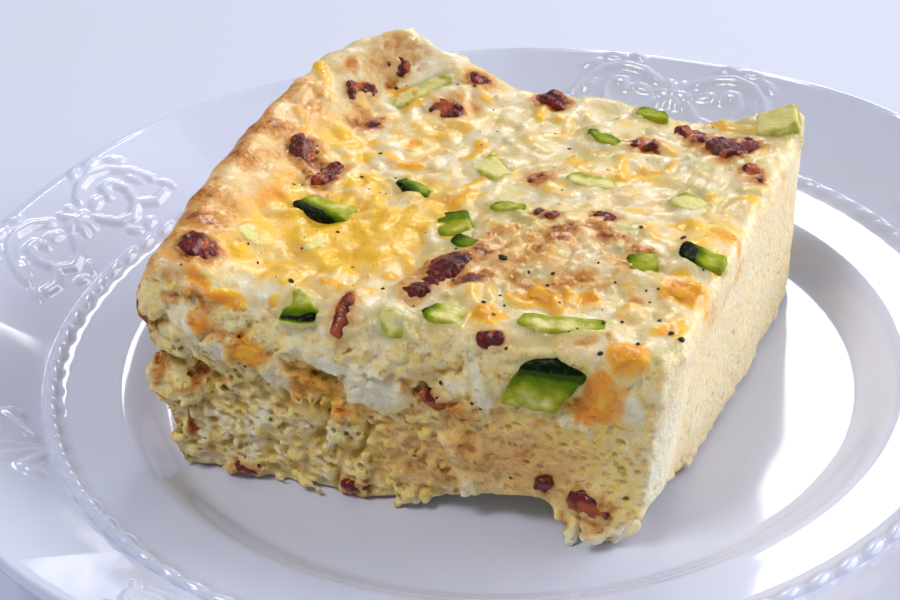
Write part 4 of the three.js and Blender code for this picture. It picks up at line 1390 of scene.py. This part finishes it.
# How green each chunk's flesh is. The others are pale.
GREEN_TONE = {
    "courgette_1": 0.5, "courgette_2": 0.45, "courgette_3": 0.8, "courgette_4": 1.0, "courgette_5": 1.0,
    "courgette_6": 0.35, "courgette_7": 0.6, "courgette_9": 0.9, "courgette_10": 0.6, "courgette_11": 0.6,
    "courgette_15": 0.1, "courgette_16": 0.6, "courgette_17": 0.3, "courgette_19": -0.7,
    "courgette_20": -0.7, "courgette_21": 1.0,
}
PALE_TONE = 0.16
# Which way each chunk's skin looks, and how thick a rim of it shows
RIND_SIDE = {
    "courgette_1": (-0.45, -0.85, 0.0), "courgette_2": (0.1, -0.95, 0.0), "courgette_4": (-0.2, 0.9, 0.3),
    "courgette_11": (-0.95, -0.1, 0.2), "courgette_21": (0.0, 0.1, 1.0), "courgette_6": (-0.9, 0.3, 0.2),
    "courgette_5": (-0.7, 0.6, 0.3), "courgette_7": (-0.2, 0.9, 0.3), "courgette_10": (-0.8, 0.5, 0.1),
    "courgette_3": (-0.55, -0.8, 0.0), "courgette_9": (0.0, 0.9, 0.4),
}
RIND_DEPTH = {
    "courgette_1": 2.4, "courgette_2": 1.0, "courgette_3": 1.0, "courgette_11": 3.0, "courgette_21": 2.0,
}
THIN_RIND = 0.8
# How dark the skin is on chunks that show only some of it
RIND_SHARE = {
    "courgette_4": 0.35, "courgette_5": 0.8, "courgette_6": 0.7, "courgette_7": 0.6, "courgette_10": 0.7,
}
FAINT_RIND = 0.3
BACK_RIND_SIDE = (0.0, 0.9, 0.3)
# How far down a chunk its skin goes, where the egg has covered the rest of it
RIND_HEIGHT = {"courgette_2": 2.7}
WHOLE_HEIGHT = 20.0
# Ribs across the bits of bacon, fat among their lean, and how rough their skin is
RIB_PERIOD = 1.25
RIBS = {"bacon_1": 0.16, "bacon_2": 0.1}
FAT_SHARE = {
    "bacon_1": -0.1, "bacon_2": 0.4, "bacon_4": 0.1, "bacon_5": 0.1, "bacon_6": 0.4, "bacon_7": 0.5,
    "bacon_8": 0.4, "bacon_9": 0.4, "bacon_10": 0.45, "bacon_11": 0.45, "bacon_17": 0.45, "bacon_18": 0.45,
    "bacon_20": 0.2, "bacon_21": 0.55, "bacon_24": 0.5,
}
USUAL_FAT = 0.15
FAT_STRIPES = (1.4, 3.4, 2.0)
ROUGH = {"bacon_1": 0.6, "bacon_2": 0.35, "bacon_12": 0.25, "bacon_22": 0.4, "bacon_23": 0.4}
# How much a bit narrows towards its left end, and over how much of its length
TAPER = {"bacon_1": 0.8}
TAPER_LENGTH = 0.7
TOPPING_MARGIN = 1.5


def long_direction(points):
    """The direction in which a piece is longest."""
    spread_out = points - points.mean(axis=0)
    return np.linalg.eigh(spread_out.T @ spread_out)[1][:, -1]


OUTLINE_PARTS = 40


def out_from_middle(points, standing):
    """How near each point is to its piece's outline, 0 in the middle and 1 at the edge."""
    flat = points[:, [0, 2]] if standing else points[:, :2]
    off = flat - (flat.max(axis=0) + flat.min(axis=0)) / 2
    part = ((np.arctan2(off[:, 1], off[:, 0]) / (2 * math.pi) + 0.5) * (OUTLINE_PARTS - 1)).astype(int)
    away = np.linalg.norm(off, axis=1)
    reach = np.full(OUTLINE_PARTS, 1e-6)
    np.maximum.at(reach, part, away)
    return away / reach[part]


def courgette_masks(node, points, seed):
    """Skin where the chunk's skin side is near, and green that pales away from it."""
    side = np.array(RIND_SIDE.get(node, BACK_RIND_SIDE))
    side /= np.linalg.norm(side)
    toward = (points - points.mean(axis=0)) @ side
    away = toward.max() - toward + 0.35 * grain_at(points, 1.6, seed)
    depth = RIND_DEPTH.get(node, THIN_RIND)
    outline = out_from_middle(points, node in ON_FRONT)
    lift = points[:, 2] - (points[:, 2].max() - RIND_HEIGHT.get(node, WHOLE_HEIGHT))
    share = RIND_SHARE.get(node, 1.0 if node in RIND_SIDE else FAINT_RIND)
    tone = GREEN_TONE.get(node, PALE_TONE)
    green = tone * (1.15 - 0.75 * smooth(depth, depth + 6.5, away)) + 0.1 * grain_at(points, 1.2, seed + 1)
    green = green + 0.8 * share * (1 - smooth(depth, depth + 1.8, away))
    green = green + 0.35 * smooth(0.55, 1.0, outline) - 0.12
    rind = share * (1 - smooth(depth - 0.4, depth + 0.5, away)) * smooth(-0.4, 0.2, lift)
    return {"rind": rind, "green": green - 1.4 * smooth(0.0, 0.6, -lift)}


def topping_pieces(fields):
    """Makes a piece of each topping, a little rougher than its solid."""
    materials = {"courgette": courgette_material(), "bacon": bacon_material(), "cheese": cheese_material()}
    for seed, (node, (distance, lattice)) in enumerate(fields.items()):
        kind, number = node.rsplit("_", 1)
        corners = node_corners(node)
        low, high = corners.min(axis=0) - TOPPING_MARGIN, corners.max(axis=0) + TOPPING_MARGIN
        block = Lattice(low, high, TOPPING_PITCH)
        field = resampled(blurred(distance, 1), lattice.axes, block.axes)
        if kind == "courgette":
            field -= 0.12 + 0.22 * grain(block, 2.4, 100 + seed) + 0.1 * grain(block, 0.9, 200 + seed)
        elif kind == "bacon":
            x, y, z = block.spread()
            axis = long_direction(corners)
            bend = 1.1 * grain(block, 3.0, 100 + seed)
            ribs = np.sin((x * axis[0] + y * axis[1] + z * axis[2] + bend) * 2 * math.pi / RIB_PERIOD)
            ribs *= 0.5 + 0.5 * grain(block, 2.2, 400 + seed)
            rough = ROUGH.get(node, 1.0)
            field -= 0.1 + RIBS.get(node, 0.0) * ribs + 0.3 * rough * grain(block, 1.6, 200 + seed)
            field -= 0.3 * rough * grain(block, 0.85, 500 + seed)
            left, right = corners[:, 0].min(), corners[:, 0].max()
            field += TAPER.get(node, 0.0) * (1 - smooth(left, mix(left, right, TAPER_LENGTH), x))
        else:
            field -= 0.08 + 0.25 * grain(block, 1.8, 100 + seed) + 0.1 * grain(block, 0.8, 200 + seed)
        points, faces = skin(field, block)
        points, faces = largest_part(points, faces)
        points = relaxed(points, faces, 1, 0.4)
        masks = {}
        if kind == "courgette":
            masks = courgette_masks(node, points, 300 + seed)
        elif kind == "bacon":
            fat = FAT_SHARE.get(node, USUAL_FAT) + 0.9 * grain_at(points, FAT_STRIPES, 300 + seed)
            masks = {"fat": fat}
        make_piece(f"{kind}_piece_{number}", points, faces, materials[kind], [node], masks)


# Flecks on the skin of the egg

# Each listed speck of pepper: x, y and radius on top, and x, height and radius on the front
PEPPER_SPOTS = [
    (6.8, -22.2, 0.85), (-25.4, -35.0, 0.55), (-31.9, -43.0, 0.4), (37.8, -34.9, 0.55), (39.5, -35.6, 0.6),
    (33.5, -38.4, 0.5), (27.2, -35.4, 0.55), (28.5, -42.0, 0.5), (7.4, -34.0, 0.5), (-33.0, -31.1, 0.35),
    (33.9, -9.3, 0.6), (-24.1, -17.7, 0.4), (16.0, -27.5, 0.4), (15.9, -24.0, 0.4), (13.9, -43.0, 0.35),
    (29.8, -33.8, 0.35), (10.5, -33.0, 0.3), (-36.0, -28.0, 0.3), (22.5, -20.5, 0.3), (9.0, -30.5, 0.3),
    (26.3, -24.5, 0.35), (12.0, -24.5, 0.3), (31.5, -25.0, 0.25), (-2.0, -20.0, 0.3), (19.0, -31.0, 0.25),
]
PEPPER_ON_FRONT = [
    (3.0, 26.0, 0.45), (-30.2, 24.5, 0.35), (8.5, 24.0, 0.35), (9.9, 23.2, 0.3), (14.0, 9.5, 0.3),
]
PEPPER_DUST = 46
PEPPER_DUST_SIZE = (0.1, 0.24)
PEPPER_FLAT = 0.6
HERB_FLECKS = 34
HERB_SIZE = (0.2, 0.5)
HERB_SPREAD = (-42, 42)
HERB_FLAT = 0.3
BEFORE_FRONT = -73.5
# The level and width of each ring of corners round a crumb, and the height of its two tips
CRUMB_RINGS = ((-0.5, 0.7), (0.1, 1.0), (0.6, 0.65))
CRUMB_TIP = 0.9
CRUMB_SIDES = 6
CRUMB_NARROW = 0.8
CRUMB_PROUD = 0.15


def grit(rng, size, flat):
    """The corners and faces of one uneven crumb round the origin."""
    ring = CRUMB_SIDES
    turn = np.arange(ring) * 2 * math.pi / ring
    points = [(0.0, 0.0, -CRUMB_TIP)]
    for level, wide in CRUMB_RINGS:
        points += [(wide * math.cos(t), wide * math.sin(t), level) for t in turn]
    points.append((0.0, 0.0, CRUMB_TIP))
    uneven = rng.uniform(0.75, 1.25, (len(points), 1))
    points = np.array(points) * uneven * (size, size * CRUMB_NARROW, size * flat)
    faces = [(0, 1 + (k + 1) % ring, 1 + k) for k in range(ring)]
    for row in range(len(CRUMB_RINGS) - 1):
        low, high = 1 + row * ring, 1 + (row + 1) * ring
        faces += [(low + k, low + (k + 1) % ring, high + (k + 1) % ring, high + k) for k in range(ring)]
    last = len(points) - 1
    faces += [(last - ring + k, last - ring + (k + 1) % ring, last) for k in range(ring)]
    return points, faces


def strewn(name, spots, flat, material, seed):
    """Crumbs joined in one piece. Each spot is a place on the food's skin, the way out of it, and a size."""
    rng = np.random.default_rng(seed)
    all_points, all_faces, count = [], [], 0
    for place, out, size in spots:
        points, faces = grit(rng, size, flat)
        turned = Matrix.Rotation(rng.uniform(0, 6.28), 3, "Z")
        turned = Vector(out).to_track_quat("Z", "Y").to_matrix() @ turned
        points = points @ np.array(turned).T + np.array(place) + CRUMB_PROUD * size * np.array(out)
        all_points.append(points)
        all_faces += [tuple(count + corner for corner in face) for face in faces]
        count += len(points)
    make_piece(name, np.concatenate(all_points), all_faces, material)


def flecks(points, faces):
    """Ground pepper and bits of green skin, dropped on the baked egg and its toppings."""
    tree = BVHTree.FromPolygons(points.tolist(), faces.tolist())
    rng = np.random.default_rng(61)

    def on_top(x, y, size):
        place, out = tree.ray_cast(Vector((x, y, SKY)), Vector((0, 0, -1)))[:2]
        return (place, out, size)

    def on_front(x, height, size):
        place, out = tree.ray_cast(Vector((x, BEFORE_FRONT, SLICE_BOTTOM + height)), Vector((0, 1, 0)))[:2]
        return (place, out, size)

    pepper = [on_top(*spot) for spot in PEPPER_SPOTS] + [on_front(*spot) for spot in PEPPER_ON_FRONT]
    for _ in range(PEPPER_DUST):
        pepper.append(on_top(rng.uniform(*STREWN_X), rng.uniform(*STREWN_Y), rng.uniform(*PEPPER_DUST_SIZE)))
    pepper = [spot for spot in pepper if spot[0] is not None]
    strewn("pepper_flecks", pepper, PEPPER_FLAT, pepper_material(), 62)
    herbs = []
    for _ in range(HERB_FLECKS):
        herbs.append(on_top(rng.uniform(*HERB_SPREAD), rng.uniform(*HERB_SPREAD), rng.uniform(*HERB_SIZE)))
    herbs = [spot for spot in herbs if spot[0] is not None]
    strewn("skin_flecks", herbs, HERB_FLAT, herb_material(), 63)


# Plate

PLATE_RADIUS = 105.0
WELL_TOP = 6.0
WELL_RINGS = (0.0, 20.0, 40.0, 56.0, 61.5)
WALL_RADIUS = 70.6
# How far out the wall's curve runs past its own radius, and the rings on each part of the profile
WALL_RUN = 1.0
WALL_RINGS = 17
BAND_RINGS = 6
ROPE_RINGS = 13
WALL_TOP = 11.4
BAND_RADIUS = 81.5
BAND_TOP = 12.7
ROPE_WIDTH = 2.6
ROPE_HEIGHT = 1.1
RIM_START_TOP = 13.1
RIM_TOP = 23.9
RIM_TOP_RADIUS = 103.9
PLATE_SEGMENTS = 900
RIM_RINGS = 62
BEADS = 88
SCALLOPS = 8
SCALLOP_DEPTH = 1.4
SCALLOP_TURN = math.radians(62)
# Radius and height of the plate's edge, its underside and the foot ring, inward to the middle
UNDERSIDE = [
    (104.6, 23.6), (105.0, 22.8), (104.8, 22.0), (104.2, 21.2), (84.1, 9.5), (73.6, 7.8), (65.5, 2.8),
    (55.7, 2.2), (54.5, 0.0), (50.0, 0.0), (48.8, 2.2), (0.0, 2.2),
]

# The ornament is laid out flat on the rim: along the rim and out from its middle circle
ORNAMENT_RADIUS = 94.0
ORNAMENT_HEIGHT = 0.9
FLOWER_MIDDLE = math.radians(84.5)
SHELL_MIDDLE = math.radians(39.5)
PANEL_DOME = 0.7
SCROLLS = [
    [
        (4.0, -2.0), (7.5, -5.0), (11.5, -5.6), (14.8, -3.6), (15.8, -0.4), (14.2, 2.2), (11.6, 2.2),
        (10.8, 0.2),
    ],
    [(4.5, 3.0), (8.0, 5.2), (12.0, 6.0), (16.5, 5.0), (20.0, 2.4), (22.5, -1.0)],
    [(15.5, -4.0), (19.0, -5.4), (22.5, -4.6)],
]
# Each leaf's middle, half length, half width and turn in degrees
LEAVES = [
    (7.2, 0.6, 2.8, 1.2, 15), (9.6, 8.2, 2.4, 1.0, 40), (14.4, 8.0, 2.6, 1.1, 8), (19.2, 6.0, 2.4, 1.0, -30),
    (19.0, 0.6, 2.4, 1.0, -50), (8.6, -7.8, 2.2, 1.0, -30), (13.2, -8.2, 2.4, 1.0, 15),
    (24.6, -3.4, 2.2, 0.9, -40),
]
SHELL_FLUTES = 7
SHELL_OPEN = math.radians(64)
SHELL_REACH = 14.5
# How far in from the ornament's middle circle the flutes meet, and the two rolls beside them
SHELL_ROOT = 10.5
ROLL_ASIDE = 9.5
ROLL_IN = 5.5
ROLL_RADIUS = 1.9
SCROLL_HALF_WIDTH = 1.0
SCROLL_SHARE = 0.85
FLOWER_EYE = 1.3
FLOWER_REPEAT = math.pi / 2
PANEL_REPEAT = math.pi / 4
ROPE_SLANT = 0.22
RIM_EASE = 1.5


def rounded(distance, half_width):
    """Height of a stroke with a round back: 1 in its middle and 0 from its edge on."""
    return np.sqrt(np.clip(1 - (distance / half_width) ** 2, 0, 1))


def flower_height(along, out):
    """A six-leaved flower between mirrored scrolls and leaves."""
    along = np.abs(along)
    far, turn = np.hypot(along, out), np.arctan2(out, along)
    petal = 2.6 + 1.7 * np.abs(np.cos(3 * turn))
    height = np.clip(1 - (far / petal) ** 4, 0, 1) * (0.55 + 0.45 * np.abs(np.cos(3 * turn)))
    height = np.maximum(height, 1.25 * rounded(far, FLOWER_EYE))
    for stroke in SCROLLS:
        for (a, b), (c, d) in zip(stroke, stroke[1:]):
            step = (c - a, d - b)
            t = np.clip(((along - a) * step[0] + (out - b) * step[1]) / (step[0] ** 2 + step[1] ** 2), 0, 1)
            away = np.hypot(along - a - t * step[0], out - b - t * step[1])
            height = np.maximum(height, SCROLL_SHARE * rounded(away, SCROLL_HALF_WIDTH))
    for a, b, half_long, half_wide, degrees in LEAVES:
        c, s = math.cos(math.radians(degrees)), math.sin(math.radians(degrees))
        u = ((along - a) * c + (out - b) * s) / half_long
        v = ((out - b) * c - (along - a) * s) / half_wide
        leaf = np.clip(1 - u**2 - np.abs(v) ** 1.5, 0, 1)
        height = np.maximum(height, np.sqrt(leaf) * (0.8 - 0.25 * (np.abs(v) < 0.12)))
    return height


def shell_height(along, out):
    """A fan of flutes that opens outward from the rope ring."""
    up = out + SHELL_ROOT
    far, turn = np.hypot(along, up), np.arctan2(along, up)
    spread = np.clip(np.abs(turn) / SHELL_OPEN, 0, 1.2)
    flute = np.abs(np.cos(turn / (2 * SHELL_OPEN) * SHELL_FLUTES * math.pi))
    reach = SHELL_REACH * (1 - 0.25 * spread**2) + 0.9 * flute
    body = smooth(0.0, 2.0, reach - far) * (1 - smooth(0.95, 1.05, spread)) * smooth(1.0, 4.0, far)
    rolls = rounded(np.hypot(np.abs(along) - ROLL_ASIDE, out + ROLL_IN), ROLL_RADIUS)
    return np.maximum(body * (0.35 + 0.65 * flute), 0.9 * rolls)


def plate_profile():
    """Radius and height of the plate's section, from the middle of the well round to under the well."""
    top = [(radius, WELL_TOP) for radius in WELL_RINGS]
    wall = WALL_RADIUS + WALL_RUN
    for t in np.linspace(0, 1, WALL_RINGS)[1:]:
        rise = (1 - math.cos(math.pi * t)) / 2
        top.append((mix(WELL_RINGS[-1], wall, t), mix(WELL_TOP, WALL_TOP, rise)))
    for t in np.linspace(0, 1, BAND_RINGS)[1:]:
        top.append((mix(wall, BAND_RADIUS, t), mix(WALL_TOP, BAND_TOP, t)))
    for t in np.linspace(0, 1, ROPE_RINGS)[1:]:
        top.append((BAND_RADIUS + ROPE_WIDTH * t, mix(BAND_TOP, RIM_START_TOP, t)))
    for t in np.linspace(0, 1, RIM_RINGS)[1:]:
        top.append((mix(BAND_RADIUS + ROPE_WIDTH, RIM_TOP_RADIUS, t), mix(RIM_START_TOP, RIM_TOP, t)))
    return np.array(top), np.array(UNDERSIDE)


def folded(turn, middle, repeat):
    """The turn from the nearest of a number of evenly spaced motifs."""
    return (turn - middle + repeat / 2) % repeat - repeat / 2


def embossing(radius, turn):
    """Height of the rope ring's beads and of the rim's ornament at each place."""
    along = (turn * BEADS / (2 * math.pi) + (radius - BAND_RADIUS - ROPE_WIDTH / 2) * ROPE_SLANT) % 1 - 0.5
    across = (radius - BAND_RADIUS - ROPE_WIDTH / 2) / (ROPE_WIDTH / 2)
    bead = np.sqrt(np.clip(1 - (along / 0.5) ** 2 - across**2, 0, 1))
    height = ROPE_HEIGHT * np.maximum(bead, 0.4 * np.sqrt(np.clip(1 - across**2, 0, 1)))
    out = radius - ORNAMENT_RADIUS
    flower_turn = folded(turn, FLOWER_MIDDLE, FLOWER_REPEAT)
    shell_turn = folded(turn, SHELL_MIDDLE, FLOWER_REPEAT)
    raised = np.maximum(
        flower_height(flower_turn * ORNAMENT_RADIUS, out), shell_height(shell_turn * ORNAMENT_RADIUS, out),
    )
    on_rim = smooth(BAND_RADIUS + ROPE_WIDTH, BAND_RADIUS + ROPE_WIDTH + RIM_EASE, radius)
    on_rim = on_rim * (1 - smooth(RIM_TOP_RADIUS - RIM_EASE, RIM_TOP_RADIUS, radius))
    panel = folded(turn, FLOWER_MIDDLE, PANEL_REPEAT) / (PANEL_REPEAT / 2)
    dome = PANEL_DOME * (1 - panel**2) * smooth(BAND_RADIUS + ROPE_WIDTH, ORNAMENT_RADIUS, radius)
    return height + on_rim * (ORNAMENT_HEIGHT * raised + dome)


def plate_piece():
    """Makes the plate as rings of points round its middle, with a point at the middle of each face."""
    top, under = plate_profile()
    count = PLATE_SEGMENTS
    angle = np.arange(count) * 2 * math.pi / count
    rings = np.concatenate([top[1:], under[:-1]])
    radius, turn = np.meshgrid(rings[:, 0], angle, indexing="ij")
    height = np.repeat(rings[:, 1:], count, axis=1)
    upper = np.arange(len(rings)) < len(top) - 1
    height[upper] += embossing(radius[upper], turn[upper])
    on_rim = np.clip((radius - BAND_RADIUS) / (PLATE_RADIUS - BAND_RADIUS), 0, 1)
    wave = np.cos(SCALLOPS * (turn - SCALLOP_TURN))
    radius = radius - SCALLOP_DEPTH * (1 - wave) / 2 * on_rim**2
    points = np.stack([radius * np.cos(turn), radius * np.sin(turn), height], axis=2).reshape(-1, 3)
    points = np.concatenate([points, [[0, 0, top[0, 1]], [0, 0, under[-1, 1]]]])
    here = np.arange(count)
    ahead = (here + 1) % count
    faces = []
    for ring in range(len(rings) - 1):
        inner, outer = ring * count, (ring + 1) * count
        faces += np.stack([inner + here, outer + here, outer + ahead, inner + ahead], axis=1).tolist()
    last = (len(rings) - 1) * count
    faces += [[len(points) - 2, int(a), int(b)] for a, b in zip(here, ahead)]
    faces += [[len(points) - 1, int(last + b), int(last + a)] for a, b in zip(here, ahead)]
    make_piece("plate_glazed", points, faces, porcelain_material(), ["plate"])


# Stage

TABLE_HALF = 4.0
TABLE_POINT = 0.02
# Each window's turn and rise in degrees, distance, width and height in metres, power and colour
WINDOWS = {
    "window_behind": (-9, 38, 1.5, (0.33, 0.5), 5.0, (1.0, 0.99, 0.98)),
    "window_right": (54, 20, 1.6, (1.5, 1.0), 27.0, (1.0, 0.985, 0.97)),
    "front_fill": (-138, 60, 1.6, (0.5, 0.5), 10.2, (1.0, 0.965, 0.9)),
}
ROOM_COLOUR = (0.83, 0.875, 1.0, 1)
ROOM_LIGHT = 0.23
NEAREST = 0.01


def camera():
    """The camera at the photograph's viewing angle."""
    lens = bpy.data.cameras.new("camera")
    lens.lens = CAMERA_LENS
    lens.sensor_width = CAMERA_SENSOR
    lens.clip_start = NEAREST
    held = bpy.data.objects.new("camera", lens)
    turned = Matrix((CAMERA_RIGHT, CAMERA_UP, CAMERA_BACK)).transposed().to_4x4()
    held.matrix_world = Matrix.Translation(Vector(CAMERA_PLACE) * MM) @ turned
    SCENE.collection.objects.link(held)
    SCENE.camera = held


def window(name, turn, rise, away, size, power, colour):
    """A rectangular light at a turn from straight behind toward the right, and a rise over the table."""
    turn, rise = math.radians(turn), math.radians(rise)
    place = away * Vector((math.sin(turn) * math.cos(rise), math.cos(turn) * math.cos(rise), math.sin(rise)))
    light = bpy.data.lights.new(name, "AREA")
    light.shape = "RECTANGLE"
    light.size, light.size_y = size
    light.energy = power
    light.color = colour
    held = bpy.data.objects.new(name, light)
    held.location = place + Vector((0, 0, TABLE_POINT))
    held.rotation_euler = (-place).to_track_quat("-Z", "Y").to_euler()
    SCENE.collection.objects.link(held)


def studio():
    """The table, the soft windows and the pale room."""
    mesh = bpy.data.meshes.new("table")
    signs = ((-1, -1), (1, -1), (1, 1), (-1, 1))
    corners = [(a * TABLE_HALF, b * TABLE_HALF, 0) for a, b in signs]
    mesh.from_pydata(corners, [], [(0, 1, 2, 3)])
    mesh.materials.append(floor_material())
    table = bpy.data.objects.new("table", mesh)
    SCENE.collection.objects.link(table)
    for name, values in WINDOWS.items():
        window(name, *values)
    world = bpy.data.worlds.new("room")
    world.use_nodes = True
    back = world.node_tree.nodes["Background"]
    back.inputs["Color"].default_value = ROOM_COLOUR
    back.inputs["Strength"].default_value = ROOM_LIGHT
    SCENE.world = world
    SCENE.view_settings.view_transform = "Standard"


camera()
studio()
topping_distances = topping_fields()
egg_points, egg_faces = egg_body(topping_distances)
topping_pieces(topping_distances)
flecks(egg_points, egg_faces)
plate_piece()
